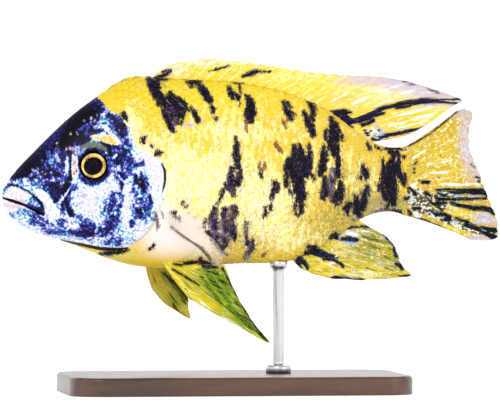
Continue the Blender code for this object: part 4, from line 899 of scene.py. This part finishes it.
def scaleTree(material):
    tree = bpy.data.node_groups.new("scaleRows", "GeometryNodeTree")
    for name, kind in (("Roots", "Geometry"), ("Vane", "Object"), ("Growth", "Float")):
        tree.interface.new_socket(name, in_out="INPUT", socket_type="NodeSocket" + kind)
    tree.interface.new_socket("Scales", in_out="OUTPUT", socket_type="NodeSocketGeometry")
    entry, leave = tree.nodes.new("NodeGroupInput"), tree.nodes.new("NodeGroupOutput")
    turn, size = (tree.nodes.new("GeometryNodeInputNamedAttribute") for _ in range(2))
    for node, name in ((turn, "turn"), (size, "size")):
        node.data_type = "FLOAT_VECTOR"
        node.inputs["Name"].default_value = name
    grow = tree.nodes.new("ShaderNodeVectorMath")
    grow.operation = "SCALE"
    info, euler, spread, realize, coat = (tree.nodes.new(kind) for kind in (
        "GeometryNodeObjectInfo", "FunctionNodeEulerToRotation", "GeometryNodeInstanceOnPoints",
        "GeometryNodeRealizeInstances", "GeometryNodeSetMaterial"))
    coat.inputs["Material"].default_value = material
    for start, output, end, entrance in (
            (entry, "Vane", info, "Object"), (entry, "Roots", spread, "Points"),
            (info, "Geometry", spread, "Instance"), (turn, 0, euler, 0), (euler, 0, spread, "Rotation"),
            (size, 0, grow, 0), (entry, "Growth", grow, "Scale"), (grow, 0, spread, "Scale"),
            (spread, 0, realize, 0), (realize, 0, coat, "Geometry"), (coat, 0, leave, 0)):
        tree.links.new(start.outputs[output], end.inputs[entrance])
    return tree


def buildScales(name, angles, side, material):
    roots, turns, sizes, unwrapped = scaleRoots(angles, side)
    mesh = bpy.data.meshes.new("scaleRoots")
    mesh.from_pydata(roots, [], [])
    setValues(mesh, "turn", turns, "FLOAT_VECTOR", "vector")
    setValues(mesh, "size", sizes, "FLOAT_VECTOR", "vector")
    setValues(mesh, "rootU", unwrapped[:, 0])
    setValues(mesh, "rootV", unwrapped[:, 1])
    seeds, vane = addObject("scaleRoots", mesh), scaleVane()
    modifier = seeds.modifiers.new("scales", "NODES")
    modifier.node_group = scaleTree(material)
    sockets = {s.name: s.identifier for s in modifier.node_group.interface.items_tree if s.in_out == "INPUT"}
    modifier[sockets["Vane"]] = vane
    modifier[sockets["Growth"]] = 1.0
    bpy.context.view_layer.update()
    coat = newMeshFrom(seeds, name)
    bpy.data.objects.remove(vane)
    data = coat.data

    def read(source, key, kind, width=1):
        values = np.empty(len(source) * width, kind)
        source.foreach_get(key, values)
        return values

    mark = {key: read(data.attributes[key].data, "value", np.float32)
            for key in ("rootU", "rootV", "scaleAlong", "scaleAcross")}
    corners = read(data.loops, "vertex_index", np.int32)
    u = mark["rootU"] + (mark["scaleAlong"] - 0.5) * scales["patch"]
    v = mark["rootV"] + mark["scaleAcross"] * scales["patch"]
    layer = data.uv_layers.new(name="OFBake")
    layer.data.foreach_set("uv", np.stack([u[corners], v[corners]], 1).ravel())
    points = read(data.vertices, "co", np.float32, 3).reshape(-1, 3).astype(float) / mm
    setMarks(coat, markSkin(points + np.array([middleX, 0, 0])))
    data.shade_smooth()
    dress(coat, material, "body_skin")
    print(name, len(roots), "scales with", sum(len(p.vertices) - 2 for p in data.polygons), "triangles")


# Fins

fins = {
    "spines": 16, "sink": 1.1, "membrane": 0.11, "edge": 0.05,
    "dorsalRoot": table("-0.4 40.6, 0 41.4, 8 63, 15 82.4, 20 92.6, 24.4 100.4"),
    "dorsalTip": table("""
        -0.4 42.8 86.6, 0 45.4 87.9, 1 48.6 89.1, 2 52.1 89.7, 5 60.8 89.8, 8 70.9 88.5, 11 80.4 87,
        13 87.3 86.2, 15 94.4 85.7, 16 98.7 85.5, 17 104.7 85.1, 18 111.8 83.9, 19 119.7 81.5, 20 126 79,
        21 122.7 76.8, 22 117.3 72.9, 23 111.8 69.8, 24.4 105.9 68.3"""),
    "dorsalArch": table("-0.4 0, 14 0, 17 1.1, 19.5 2.3, 22 1, 24.4 0.2"),
    "analRoot": table("-0.4 78.4, 0 79.2, 3 84.4, 10.4 96.6"),
    "analTip": table("""
        -0.4 81.6 33.2, 0 84.2 32.1, 1 90.5 30.5, 2 98 30.1, 3 105 30.4, 4 111.8 31.3, 5 109.6 33.8,
        6 108.4 36.6, 7 107.2 39.4, 8 104.8 42, 9 101.8 43.6, 10.4 98.9 45.2"""),
    "analArch": table("-0.4 0, 3 -0.4, 10.4 0.3"),
    "tailRoot": table("-0.4 65.9, 15.4 47.8"),
    "tailTip": table("""
        -0.4 124.4 76.1, 0 125.9 76.6, 1 128.6 76, 3 128.1 70.6, 5 128.3 65.6, 7 130 61.3, 9 131.8 56,
        11 133.5 51, 12.5 135.1 47.2, 13.5 135.5 44.2, 14.5 134.8 41.1, 15.4 128.6 40.8"""),
    "tailArch": table("-0.4 -0.4, 7 0, 15.4 0.6"),
    "pelvicRootY": 3.4, "leftPelvicRoot": (43.3, 47.6),
    "leftPelvicTip": table("""
        -0.3 50.2 25.3 7.6, 0 55.5 22.1 9.4, 1 70.8 13.6 12.6, 2 67.7 18.1 12, 3 65.2 22.1 11,
        4 62.7 26.6 9.6, 5.3 59.6 34.6 8.4"""),
    "rightPelvicRoot": (39.3, 45.0),
    "rightPelvicTip": table("""
        -0.3 42.3 27.6 10.6, 0 45.2 24.6 15, 1 54.1 19.3 24, 2 53.8 22.1 23, 3 53.4 24.8 20,
        4 51.1 27.5 15.6, 5.3 48 30.2 9.4"""),
    "pectoralRoot": table("-0.3 43.4 48.8, 12.3 44.7 44"),
    "pectoralTip": table("""
        -0.3 52.7 43.9, 0.14 53.6 43, 2.34 55.6 41.3, 4.53 57.1 39.3, 6.73 57.9 37.2, 8.93 57.7 35.3,
        10.69 56.2 34.2, 12.3 53.8 35.8"""),
    "pectoralSplay": 0.6, "pectoralCurl": 0.0088,
}


def rayLine(root, tip, arch, t):
    return root + (tip - root) * t[..., None] + arch * (4 * t * (1 - t))[..., None]


def middleFin(key, ray, t, edgeX, edgeZ, sway):  # a fin in the middle plane, from its root to its tips
    zero = np.zeros_like(ray)
    tip = curveThrough(fins[key + "Tip"])(ray)
    root = np.stack([edgeX + zero, zero, edgeZ], -1)
    arch = np.stack([zero, zero, curveThrough(fins[key + "Arch"])(ray)], -1)
    return rayLine(root, np.stack([tip[..., 0], sway * t * t, tip[..., 1]], -1), arch, t)


def dorsalSurface(ray, t):
    x = curveThrough(fins["dorsalRoot"])(ray)
    return middleFin("dorsal", ray, t, x, back(x) - fins["sink"], 0.9 * np.sin(ray * 0.42))


def analSurface(ray, t):
    x = curveThrough(fins["analRoot"])(ray)
    return middleFin("anal", ray, t, x, belly(x) + fins["sink"], 0.7 * np.sin(ray * 0.5 + 0.6))


def tailSurface(ray, t):
    x = body["back"][-1][0] - fins["sink"]
    return middleFin("tail", ray, t, x, curveThrough(fins["tailRoot"])(ray), 1.6 * np.sin(ray * 0.33 + 0.4))


def pelvicSurface(side, name):
    front, rear = fins[name + "PelvicRoot"]

    def surface(ray, t):
        share = (ray + 0.3) / 5.6
        x = front + (rear - front) * share
        y = fins["pelvicRootY"] + 0.5 * np.sin(math.pi * share)
        root = np.stack([x, side * y, undersideAt(x, y) + fins["sink"] * 0.6], -1)
        end = curveThrough(fins[name + "PelvicTip"])(ray)
        end = np.stack([end[..., 0], side * end[..., 2], end[..., 1]], -1)
        return rayLine(root, end, np.array([0.0, side * 0.9, -0.5]), t)

    return surface


def pectoralSurface(side):
    def surface(ray, t):
        root, end = curveThrough(fins["pectoralRoot"])(ray), curveThrough(fins["pectoralTip"])(ray)
        run = t * np.hypot(end[..., 0] - root[..., 0], end[..., 1] - root[..., 1])
        aside = halfWidthAt(root[..., 0], root[..., 1]) - 0.3 + 1.05 * smooth(t, 0, 0.12)
        aside = aside + fins["pectoralSplay"] * run - fins["pectoralCurl"] * run * run
        place = root + (end - root) * t[..., None]
        return np.stack([place[..., 0], side * aside, place[..., 1] + 1.6 * t * (1 - t)], -1)

    return surface


def rayCrest(ray, t, spines):  # how close a place is to the crest of a spine or of a branch of a soft ray
    offset = ray - np.round(ray)
    first, second = 0.17 * smooth(t, 0.25, 1.0), 0.075 * smooth(t, 0.55, 1.0)
    width = np.where(np.round(ray) < spines, 0.16, 0.085 - 0.035 * t)
    branches = [np.exp(-((offset - a * first - b * second) / width) ** 2) for a in (-1, 1) for b in (-1, 1)]
    simple = np.exp(-(offset / width) ** 2)
    return np.where(np.round(ray) < spines, simple, np.max(branches, axis=0))


def buildFin(name, surface, first, last, rows, ridge, spines, notch, marks, material, *nodes, perRay=14):
    count, per = int((last - first) * perRay) + 1, rows + 1
    ray, t = np.meshgrid(np.linspace(first, last, count), np.linspace(0, 1, per), indexing="ij")
    dip = np.abs(ray - np.round(ray)) * 2
    fine = 0.25 + 0.75 * (ray < spines)
    along = t * (1 - notch * fine * dip ** 1.5 - 0.006 * (1 - rayCrest(ray, np.ones_like(t), spines)))
    middle = surface(ray, along)
    normals = np.cross(np.gradient(middle, axis=0), np.gradient(middle, axis=1))
    normals /= np.linalg.norm(normals, axis=2)[..., None]
    crest = rayCrest(ray, along, spines)
    thick = fins["membrane"] * (1 - 0.55 * along) + ridge * crest * (1 - 0.78 * along)
    edge = smooth(np.minimum(1 - t, 0.03) / 0.03, 0, 1)
    edge *= smooth(np.minimum(ray - first, last - ray), -0.02, 0.06)
    half = normals * (fins["edge"] + thick * edge)[..., None]
    points = np.concatenate([(middle + half).reshape(-1, 3), (middle - half).reshape(-1, 3)])
    other, rim = count * per, gridRim(count, per)
    faces = gridFaces(count, per) + [f[::-1] for f in gridFaces(count, per, start=other)]
    faces += [[b, a, other + a, other + b] for a, b in zip(rim, rim[1:] + rim[:1])]
    fin = meshObject(name, points, faces)
    found = {key: np.tile(v.ravel(), 2) for key, v in (("ray", ray), ("along", along), ("crest", crest))}
    found.update(marks(points, found["ray"], found["along"]))
    setMarks(fin, found)
    dress(fin, material, "fin_membrane", *nodes)
    print(name, 2 * other, "points")


mosaicMarks = strokes("""
    404 190 3,410 196 8,422 206 8;413 188 2,430 196 3,444 206 4;424 208 5,450 221 4,470 228 4,494 234 4;
    336 236 3,352 242 4;368 132 3,386 136 3;310 250 3,336 258 3;440 194 3,456 198 4,462 198 2""")
# The near pelvic fin's pale edge stroke is a painted highlight, and the far pelvic fin's brighter paint is
# painted light.
finLooks = {  # what each fin is painted with, and its pale, blue and green strokes
    "dorsal": {
        "base": "lemon", "edge": {"start": 0.50, "end": 0.82, "from": 14.0, "to": 20.4, "strength": 0.95},
        "blobs": patches("""
            250 76 110 12 lemon 0.9, 396 90 36 9 paleLilac 0.9, 372 96 18 8 lemon 0.5,
            358 98 26 12 cream 0.7, 402 122 36 14 golden 0.9, 345 100 30 10 golden 0.8,
            300 76 40 5 cream 0.5, 376 137 12 8 lilac 0.7, 172 70 14 5 paleLilac 0.8,
            200 62 22 4 paleLilac 0.8, 240 63 30 3 cream 0.7"""),
        "white": strokes("""
            378 92 0.6,404 84 0.6;394 96 0.6,420 89 0.6;386 119 0.8,404 114 1,432 107.5 0.7;388 126 0.8,
            406 121 1,436 113 0.7;390 130 0.6,412 125 0.8,428 120 0.6;378 104 0.8,392 100 1;352 104 1,
            366 98 0.8;334 100 1,346 94 0.8;372 128 1,376 132 0.9"""),
        "cyan": strokes("""
            374 120 1,378 128 1.2,384 133 2,379 139 1.8;366 115.5 0.9,371 117.5 1;394 131 0.7,408 128 0.7"""),
        "green": strokes("""
            420 85 0.6,424 86 0.5;436 89.5 0.7,440 90.5 0.5;443 92.5 0.7;365 75 0.3,390 77 0.4,415 83 0.4"""),
    },
    "tail": {
        "base": "mustard", "edge": {"start": 0.74, "end": 0.94, "from": -2, "to": 8, "strength": 0.9},
        "blobs": patches("""
            436 158 40 26 lemon 0.45, 440 180 30 12 golden 0.6, 470 197 24 9 oliveGrey 0.4,
            486 217 12 7 lilac 0.95, 460 214 14 5 lemon 0.7, 432 207 9 5 deepYellow 0.8,
            445 208 12 4 cream 0.5, 482 238 14 3 lilac 0.8, 445 228 22 8 lemon 0.7"""),
        "white": strokes("""
            413 186 2.4,416 183 1;410 198 1.6;415 213 2.2,420 218 1.5;434 214 1.4;448 204 1.3;413 158 0.9,
            425 150 0.7;440 184 0.9,462 184.5 1,485 183 0.9;430 173 0.7,446 172 0.8;428 165 0.6,
            452 160 0.8;469 229 1.3"""),
        "cyan": strokes("""
            438 192 1.2,443 193 1;456 196 1.8,462 196.5 1;457 203 1.6;455 222 1.9;440 201 1;470 195.5 1,
            480 196 0.9;472 216 1.2,492 218 1;474 222 1,494 224 1.2;472 237 1,494 239 1.2;424 212 1.2;
            446 216 0.8"""),
        "green": strokes("""
            408 213 1.4,411 215 1.2;419 197 0.9,424 201 0.8;423 205 0.9,431 206 1;428 200 0.7;406 194 0.9;
            400 203 0.9"""),
    },
    "anal": {
        "base": "lemon",
        "blobs": patches("""
            330 268 26 12 deepYellow 0.6, 345 250 14 8 cream 0.5, 375 236 22 9 oliveGreen 0.85,
            372 254 28 14 olive 0.75, 350 234 12 6 paleLilac 0.6, 396 264 12 12 oliveGreen 0.7,
            360 275 20 5 cream 0.5"""),
        "white": strokes("""
            347 232 1.6,356 234.5 1.8;332 250 1.7;330 264 1.8,336 262 1.2;362 231 0.8,372 232.5 0.7;
            352 272 0.9,372 272 0.8"""),
        "cyan": strokes("""
            343 242.5 1.2,351 243.5 1.6,356 243 1;366 252 0.9,372 254 0.7;378 262 0.8,384 264 0.6;
            362 262 0.7"""),
        "green": strokes("""
            362 236 1.1,368 238 1.3,378 241 1.6,390 243.5 1.3;389 248 1,392 251 0.8;385 256 0.9,
            389 259 0.7;392 262 0.9;356 250 0.8,364 250.5 0.9;370 246 0.9,380 249 1;366 268 0.9,
            378 271 0.8;386 268 1,394 271 0.8"""),
    },
    "pelvic": {
        "base": "oliveYellow",
        "blobs": patches("""
            180 276 16 10 deepYellow 0.6, 196 278 16 10 olive 0.5, 226 294 18 24 green 0.9,
            214 278 14 12 green 0.7, 246 320 14 20 green 0.9, 212 306 14 6 deepYellow 0.6"""),
        # This pale stroke along the fin's edge is a painted highlight.
        "white": strokes("201 302 0.5,224 318 0.5,250 333 0.5;252 332 0.4"),
        "green": strokes("""
            205 270 2,212 280 2.2,220 290 1.8,230 304 1.4;214 270 2,222 281 2,229 293 1.4;203 279 1.4,
            211 290 1.7,222 304 1.4;228 306 1.8,240 318 2.2,252 328 2.4;235 300 1.2,246 313 2,256 327 2;
            222 276 1.6,230 288 1.2;240 304 0.9,248 314 1.2"""),
    },
    "farPelvic": {
        # The lemon base and pale throat and lemon patches make this fin brighter than the near one: painted
        # light that offsets the shadow the body casts on it.
        "base": "lemon",
        "blobs": patches("""
            154 294 16 20 throat 0.8, 158 282 12 10 deepYellow 0.6, 180 290 9 16 oliveGreen 0.45,
            154 300 18 16 lemon 0.7, 150 272 14 4 orange 0.8"""),
        "white": strokes("152 300 0.7,166 316 0.6;142 276 0.7,148 290 0.6"),
        "green": strokes("164 273 1.4,172 281 2.4,181 292 2.8,185 299 2.2;170 294 0.5,178 304 0.7"),
    },
    "pectoral": {
        "base": "grey",
        "blobs": patches("195 245 30 30 pink 0.7, 216 252 9 16 oliveGrey 0.3"),
    },
}


def finMarks(key, side=-1):
    looks = finLooks[key]

    def marks(points, ray, along):
        px, py = photoPlace(points, side)
        paint = paintOver(px, py, np.zeros(px.shape + (3,)) + colours[looks["base"]], looks["blobs"])
        margin = np.zeros(px.shape)
        if "edge" in looks:
            edge = looks["edge"]
            margin = smooth(along, edge["start"], edge["end"]) * smooth(ray, edge["from"], edge["from"] + 2)
            margin *= 1 - smooth(ray, edge["to"], edge["to"] + 1)
            paint = paint + (np.array(colours["lilac"]) - paint) * (margin * edge["strength"])[..., None]
        dark = darkMarks[key] + (darkMarks["lower"] if key == "anal" else [])
        found = {"paint": paint, "margin": margin}
        for name, lines in (("dark", dark), ("mosaic", mosaicMarks),
                            *((name, looks.get(name, [])) for name in ("white", "cyan", "green"))):
            found[name] = strokeDepth(px, py, lines)
        return found

    return marks


def finFinish(name, rays, dabs, dabShare, stripes, fleck, speckle, ink="navy", opacity=1.0, clearMargin=0.0,
              lines=0.0, netted=0.0):
    finish = Finish(name, Roughness=0.45, Coat_Roughness=0.2, **wet)
    ray, along, crest = (finish.attribute(n) for n in ("ray", "along", "crest"))

    def fibres(across, lengthwise, seed, detail=3):
        place = finish.node("ShaderNodeCombineXYZ", sockets={0: ray * across, 1: along * lengthwise, 2: seed})
        return finish.speckle(place, 1.0, detail)

    streaks, dashes, threads = fibres(2.0, 5.0, 0.0), fibres(3.4, 15.0, 3.0, 2), fibres(5.5, 4.0, 7.0, 2)
    patches = fibres(1.3, 8.0, 11.0, 2)
    place = finish.place()
    grain, fine, dots = (finish.speckle(place, *size) for size in ((2300, 3), (3600, 2), (1250, 1, 0.5)))
    edge = grain * 2.4 + streaks * 4.0 + threads * 6.0 + fine * 2.0
    inner = 1 - finish.attribute("margin") * 0.6
    dab = (patches * 1.3 + dashes * 0.5 + grain * 0.4).step(-0.01, 0.07) * dabShare * inner
    colour = finish.mix(dab, finish.attribute("paint", "Color"), dabs)
    net = threads * (1 - netted * 0.6) + dots * netted + crest * 0.12 + dashes * 0.8 + grain * 0.4
    colour = finish.mix(net.step(0.07, 0.17) * (0.85 - netted * 0.13) * (inner * 0.6 + 0.4), colour, rays)
    colour = finish.mix((fine + threads * 0.8 + dashes * 0.5).step(0.09, 0.18) * speckle, colour, "gritGrey")

    tiles = finish.ramp(dots * 0.75 + dashes * 0.55 + grain * 0.2, [
        (-0.09, "navy"), (-0.03, "teal"), (0.02, "golden"), (0.08, "white"), (0.16, "cyan")])
    colour = finish.over(colour, "mosaic", edge * 0.6, tiles, 0.9)
    green = finish.attribute("green")
    colour = finish.mix((green + threads * 30).step(-6, 3) * lines * 0.8, colour, stripes)
    deep = (threads + grain * 0.3 + green.step(-5, 2) * 0.12).step(0.13, 0.18)
    colour = finish.mix(deep * lines, colour, "darkGreen")
    for mark, top, strength in (
            ("green", finish.mix((grain + threads).step(-0.08, 0.08), stripes, "darkGreen"), 0.75),
            ("cyan", finish.mix(grain.step(-0.1, 0.1), "cyan", "lilac"), 0.8),
            ("white", finish.mix(grain.step(0, 0.15) * 0.6, "white", "paleLilac"), 0.85)):
        colour = finish.over(colour, mark, edge * 0.7, top, strength)
    halo = finish.mix(grain.step(-0.05, 0.05), fleck, "oliveGrey")
    colour = finish.over(colour, "dark", edge, halo, 0.5, -1.8, -0.4)
    dark = (finish.attribute("dark") + edge * 0.8 + 0.15).step(-0.6, 0.6)
    blot = finish.mix((streaks + grain).step(0.0, 0.16), "black", ink)
    blot = finish.mix((fine + dashes).step(0.12, 0.2) * 0.7, blot, fleck)
    finish.feed("Base Color", finish.mix(dark, colour, blot))
    if opacity < 1 or clearMargin > 0:
        clear = finish.attribute("margin") * clearMargin + (1 - opacity)
        finish.feed("Alpha", 1 - clear * (1 - crest * 0.2) * (1 - dark * 0.6))
    finish.bump(streaks * 0.5 + finish.noise(place, 2600, 2) * 0.4, 0.00008, 0.6)
    return finish.material


def buildFins():
    spiny = finFinish("dorsalMembrane", "cream", "golden", 0.75, "orange", "mauve", 0.3, clearMargin=0.15)
    buildFin("dorsalFin", dorsalSurface, -0.4, 24.4, 48, 0.20, fins["spines"], 0.035, finMarks("dorsal"),
             spiny, "dorsal_fin_spiny", "dorsal_fin_soft")
    anal = finFinish("analMembrane", "cream", "darkOlive", 0.5, "oliveGreen", "teal", 0.6, netted=0.3)
    buildFin("analFin", analSurface, -0.4, 10.4, 48, 0.16, 3, 0.05, finMarks("anal"), anal, "anal_fin")
    tail = finFinish("tailMembrane", "cream", "mustard", 0.9, "teal", "teal", 0.6, ink="ink", clearMargin=0.1,
                     netted=1.0)
    buildFin("tailFin", tailSurface, -0.4, 15.4, 60, 0.16, 0, 0.03, finMarks("tail"), tail, "tail_fin")
    green = finFinish("pelvicMembrane", "throat", "green", 0.2, "green", "olive", 0.15, ink="darkGreen",
                      lines=0.9)
    for side, name, look, fold in ((-1, "left", "pelvic", -1), (1, "right", "farPelvic", None)):
        buildFin("pelvicFin" + name.title(), pelvicSurface(side, name), -0.3, 5.3, 60, 0.16, 1, 0.04,
                 finMarks(look, fold), green, "pelvic_fin_" + name, perRay=24)
    clear = finFinish("pectoralMembrane", "creamPink", "cream", 0.4, "grey", "oliveGrey", 0.25,
                      ink="oliveGrey", opacity=0.12)
    for side, name in ((-1, "left"), (1, "right")):
        buildFin("pectoralFin" + name.title(), pectoralSurface(side), -0.3, 12.3, 44, 0.12, 0, 0.03,
                 finMarks("pectoral"), clear, "pectoral_fin_" + name)


# Eyes

def turned(name, profile, centre, axis, sides):  # a profile of (radius, height) turned round an axis
    turn = np.linspace(0, 2 * math.pi, sides, endpoint=False)
    u = np.array([0, 0, 1.0]) if abs(axis[2]) < 0.5 else np.array([1.0, 0, 0])
    v = np.cross(axis, u)
    rings = np.array([[centre + np.array(axis) * h + (u * math.cos(a) + v * math.sin(a)) * r for a in turn]
                      for r, h in profile])
    ends = [centre + np.array(axis) * profile[0][1], centre + np.array(axis) * profile[-1][1]]
    points = np.concatenate([rings.reshape(-1, 3), ends])
    faces = gridFaces(len(profile), sides, wrap=True)
    faces += capFaces(len(profile), sides, len(points) - 2, len(points) - 1)
    return meshObject(name, points, faces), points


def eyeFinish():
    finish = Finish("eyeInside", Roughness=0.4, Specular_IOR_Level=0.05)
    ring, spokes = finish.attribute("iris"), finish.attribute("spokes")
    flake = finish.noise(finish.place(), 1800)
    gold = finish.mix(flake.step(0.35, 0.7), "gold", "paleGold")
    gold = finish.mix(spokes.step(0.62, 0.95) * 0.5, gold, "bronze")
    finish.feed("Base Color", finish.mix(ring.step(0.4, 0.6), "ink", gold))
    finish.bump(flake, 0.00005, 0.5)
    return finish.material


def buildEyes():
    inside = eyeFinish()
    clear = Finish("cornea", Base_Color=(0.02, 0.02, 0.03), Roughness=0.03, Alpha=0.05,
                   Specular_IOR_Level=0.3, Coat_Weight=0.12).material
    iris, pupil = eye["iris"], eye["pupil"]

    def dome(first, last, count):  # the ball's front from one radius to another
        return [(r, eye["depth"] * math.sqrt(1 - (r / eye["radius"]) ** 2))
                for r in np.linspace(first, last, count)]

    for side, name, node in ((-1, "eyeLeft", "eye_left"), (1, "eyeRight", "eye_right")):
        axis = (0.0, float(side), 0.0)
        centre = np.array([eye["x"], side * (eyeSide + eye["standsOut"] - eye["depth"]), eye["z"]])
        profile = ([(r, 2.35) for r in np.linspace(0.02, pupil - 0.25, 8)]
                   + [(pupil - 0.12, 2.45), (pupil, 2.62)]
                   + [(r, 2.66 + 0.10 * math.sin((r - pupil) / (iris - pupil) * math.pi))
                      for r in np.linspace(pupil + 0.05, iris, 10)]
                   + [(iris + 0.1, 2.5)] + [(r, h - 0.22) for r, h in dome(iris + 0.25, 4.7, 12)]
                   + [(4.72, -0.2), (4.0, -1.7), (2.0, -2.4), (0.02, -2.5)])
        ball, points = turned(name, profile, centre, axis, 72)
        flat = points - centre
        radius, turn = np.hypot(flat[:, 0], flat[:, 2]), np.arctan2(flat[:, 2], flat[:, 0])
        opening = pupil * (1 + 0.06 * np.cos(turn + 2.3) + 0.05 * np.cos(2 * turn - 0.8))
        front = flat[:, 1] * side > 1.5
        ring = smooth(radius, opening - 0.05, opening + 0.1) * (1 - smooth(radius, iris - 0.1, iris + 0.06))
        setMarks(ball, {"iris": ring * front, "spokes": 0.5 + 0.5 * np.sin(turn * 3 + 1.1)})
        dress(ball, inside, "eye_glass", node)
        outside = dome(0.02, 4.0, 16)
        inner = [(r, h - eye["cornea"]) for r, h in reversed(outside)]
        dress(turned(name + "Cornea", outside + inner, centre, axis, 72)[0], clear, "eye_glass")
    print("eyes")


# Stand

stand = {"length": 92.0, "depth": 52.0, "height": 5.0, "centreX": 63.0, "corner": 9.0, "edge": 1.0,
         "rodX": 75.4, "rod": 1.5, "foot": 3.4, "footHeight": 2.4, "saddle": 2.5, "saddleDepth": 3.4,
         "saddleRise": 2.2}


def woodFinish():
    finish = Finish("darkWood", Roughness=0.38, Coat_Weight=0.35, Coat_Roughness=0.15)
    bend = finish.noise(finish.place((8, 30, 30)), 3.0)
    sockets = {"Vector": finish.place((6, 60, 60)), "Scale": 1.4, "Distortion": 7.0, "Detail": 3.0,
               "Detail Scale": 1.6}
    rings = finish.node("ShaderNodeTexWave", {"bands_direction": "Y"}, sockets, "Fac")
    pores = finish.noise(finish.place((40, 700, 700)), 3.0, 2, 0.6)
    colour = finish.mix(rings * 0.6 + bend * 0.4, "heartwood", "sapwood")
    finish.feed("Base Color", finish.mix(pores.step(0.58, 0.72) * 0.6, colour, "pore"))
    finish.bump(rings * 0.3 + pores * 0.5, 0.0001, 0.5)
    return finish.material


def steelFinish():
    finish = Finish("brushedSteel", Base_Color=(0.62, 0.63, 0.65), Metallic=1.0)
    brush = finish.noise(finish.place((1, 1, 14)), 900)
    finish.feed("Roughness", brush * 0.2 + 0.2)
    finish.bump(brush, 0.00003, 0.5)
    return finish.material


def buildStand():
    shape = bmesh.new()
    bmesh.ops.create_cube(shape, size=1.0)
    shape.transform(Matrix.Translation(((stand["centreX"] - middleX) * mm, 0, stand["height"] * mm / 2))
                    @ Matrix.Diagonal((stand["length"] * mm, stand["depth"] * mm, stand["height"] * mm, 1)))
    upright = [e for e in shape.edges if abs(e.verts[0].co.z - e.verts[1].co.z) > mm]
    rounding = {"profile": 0.5, "affect": "EDGES"}
    bmesh.ops.bevel(shape, geom=upright, offset=stand["corner"] * mm, segments=20, **rounding)
    upper = [e for e in shape.edges if min(v.co.z for v in e.verts) > (stand["height"] - 0.01) * mm]
    bmesh.ops.bevel(shape, geom=upper, offset=stand["edge"] * mm, segments=6, **rounding)
    mesh = bpy.data.meshes.new("standBase")
    shape.to_mesh(mesh)
    shape.free()
    mesh.shade_smooth()
    mesh.set_sharp_from_angle(angle=math.radians(40))
    dress(addObject("standBase", mesh), woodFinish(), "stand_wood", "stand_base")
    low, top = stand["height"], float(belly(np.float64(stand["rodX"])))
    foot, rod, saddle = stand["foot"], stand["rod"], stand["saddle"]
    neck, cup = low + stand["footHeight"], top - stand["saddleDepth"]
    def arc(radius, width, height, rise, first, count):  # a rounded step of the profile
        return [(radius + width * (1 - math.cos(a)), height + rise * math.sin(a))
                for a in np.linspace(first, 1.5, count)]

    profile = [(foot, low + 0.02), (foot, low + 1.4)] + arc(foot, -0.7, low + 1.4, 0.9, 0.2, 6)
    profile += [(rod + 0.5 - 0.5 * math.sin(a), neck + 0.5 - 0.5 * math.cos(a))
                for a in np.linspace(0.2, 1.5, 5)]
    profile += [(rod, neck + 1.0), (rod, cup)] + arc(rod, saddle - rod, cup, stand["saddleRise"], 0.3, 6)
    profile += [(saddle, top + 0.2), (saddle - 0.3, top + 0.6), (0.3, top + 0.3)]
    post, _ = turned("standRod", profile, np.array([stand["rodX"], 0.0, 0.0]), (0.0, 0.0, 1.0), 64)
    dress(post, steelFinish(), "stand_steel", "stand_rod")
    print("stand")


# Floor, light and camera

studio = {"floorReach": 2.6, "wallHeight": 1.6, "bend": 0.6, "floorColour": (0.88, 0.88, 0.88), "glow": 0.36,
          "world": (0.96, 0.97, 1.0), "worldStrength": 0.60, "lightsMeet": (0, 0, 0.05),
          "lights": [("key", (-0.5, -0.9, 0.8), 0.6, 4.8), ("fill", (0.9, -0.8, 0.4), 0.8, 1.6),
                     ("rim", (0.2, 1.0, 0.9), 0.7, 4.0)]}


def areaLight(name, place, size, power):
    data = bpy.data.lights.new(name, "AREA")
    data.shape, data.size, data.energy = "DISK", size, power
    lamp = addObject(name, data)
    lamp.location = place
    lamp.rotation_euler = (Vector(studio["lightsMeet"]) - Vector(place)).to_track_quat("-Z", "Y").to_euler()


def buildStudio():
    reach, bend = studio["floorReach"], studio["bend"]
    profile = [(0.001, 0.0), (0.4, 0.0), (1.2, 0.0), (reach - bend, 0.0)]
    profile += [(reach - bend + bend * math.sin(a), bend - bend * math.cos(a))
                for a in np.linspace(0.1, math.pi / 2, 14)]
    profile += [(reach, studio["wallHeight"])]
    turn = np.linspace(0, 2 * math.pi, 96, endpoint=False)
    points = [(r * math.cos(a), r * math.sin(a), z) for r, z in profile for a in turn]
    faces = [f[::-1] for f in gridFaces(len(profile), len(turn), wrap=True)] + [list(range(len(turn)))]
    mesh = bpy.data.meshes.new("floor")
    mesh.from_pydata(points, [], faces)
    mesh.shade_smooth()
    finish = Finish("paleFloor", Roughness=0.9, Base_Color=studio["floorColour"], Emission_Color=(1, 1, 1),
                    Emission_Strength=studio["glow"])
    mesh.materials.append(finish.material)
    addObject("floor", mesh)
    world = bpy.data.worlds.new("studio")
    world.use_nodes = True
    sky = world.node_tree.nodes["Background"].inputs
    sky["Color"].default_value = (*studio["world"], 1)
    sky["Strength"].default_value = studio["worldStrength"]
    bpy.context.scene.world = world
    for light in studio["lights"]:
        areaLight(*light)
    bpy.context.scene.view_settings.view_transform = "Standard"


def buildCamera():
    turn = math.radians(view["azimuth"])
    data = bpy.data.cameras.new("camera")
    data.sensor_width = view["sensor"]
    data.lens = view["sensor"] * view["distance"] / view["frameWidth"]
    data.clip_start, data.clip_end = view["clip"]
    camera = addObject("camera", data)
    away = Vector((math.sin(turn), -math.cos(turn), 0))
    camera.location = Vector((view["targetX"], 0, view["targetZ"])) + away * view["distance"]
    camera.rotation_euler = (-away).to_track_quat("-Z", "Y").to_euler()
    bpy.context.scene.camera = camera


buildCamera()
buildStudio()
sharedAngles = buildSkin()
coatFinish = scaleFinish()
buildScales("scalesLeft", sharedAngles, -1, coatFinish)
buildScales("scalesRight", sharedAngles, 1, coatFinish)
buildFins()
buildEyes()
buildStand()
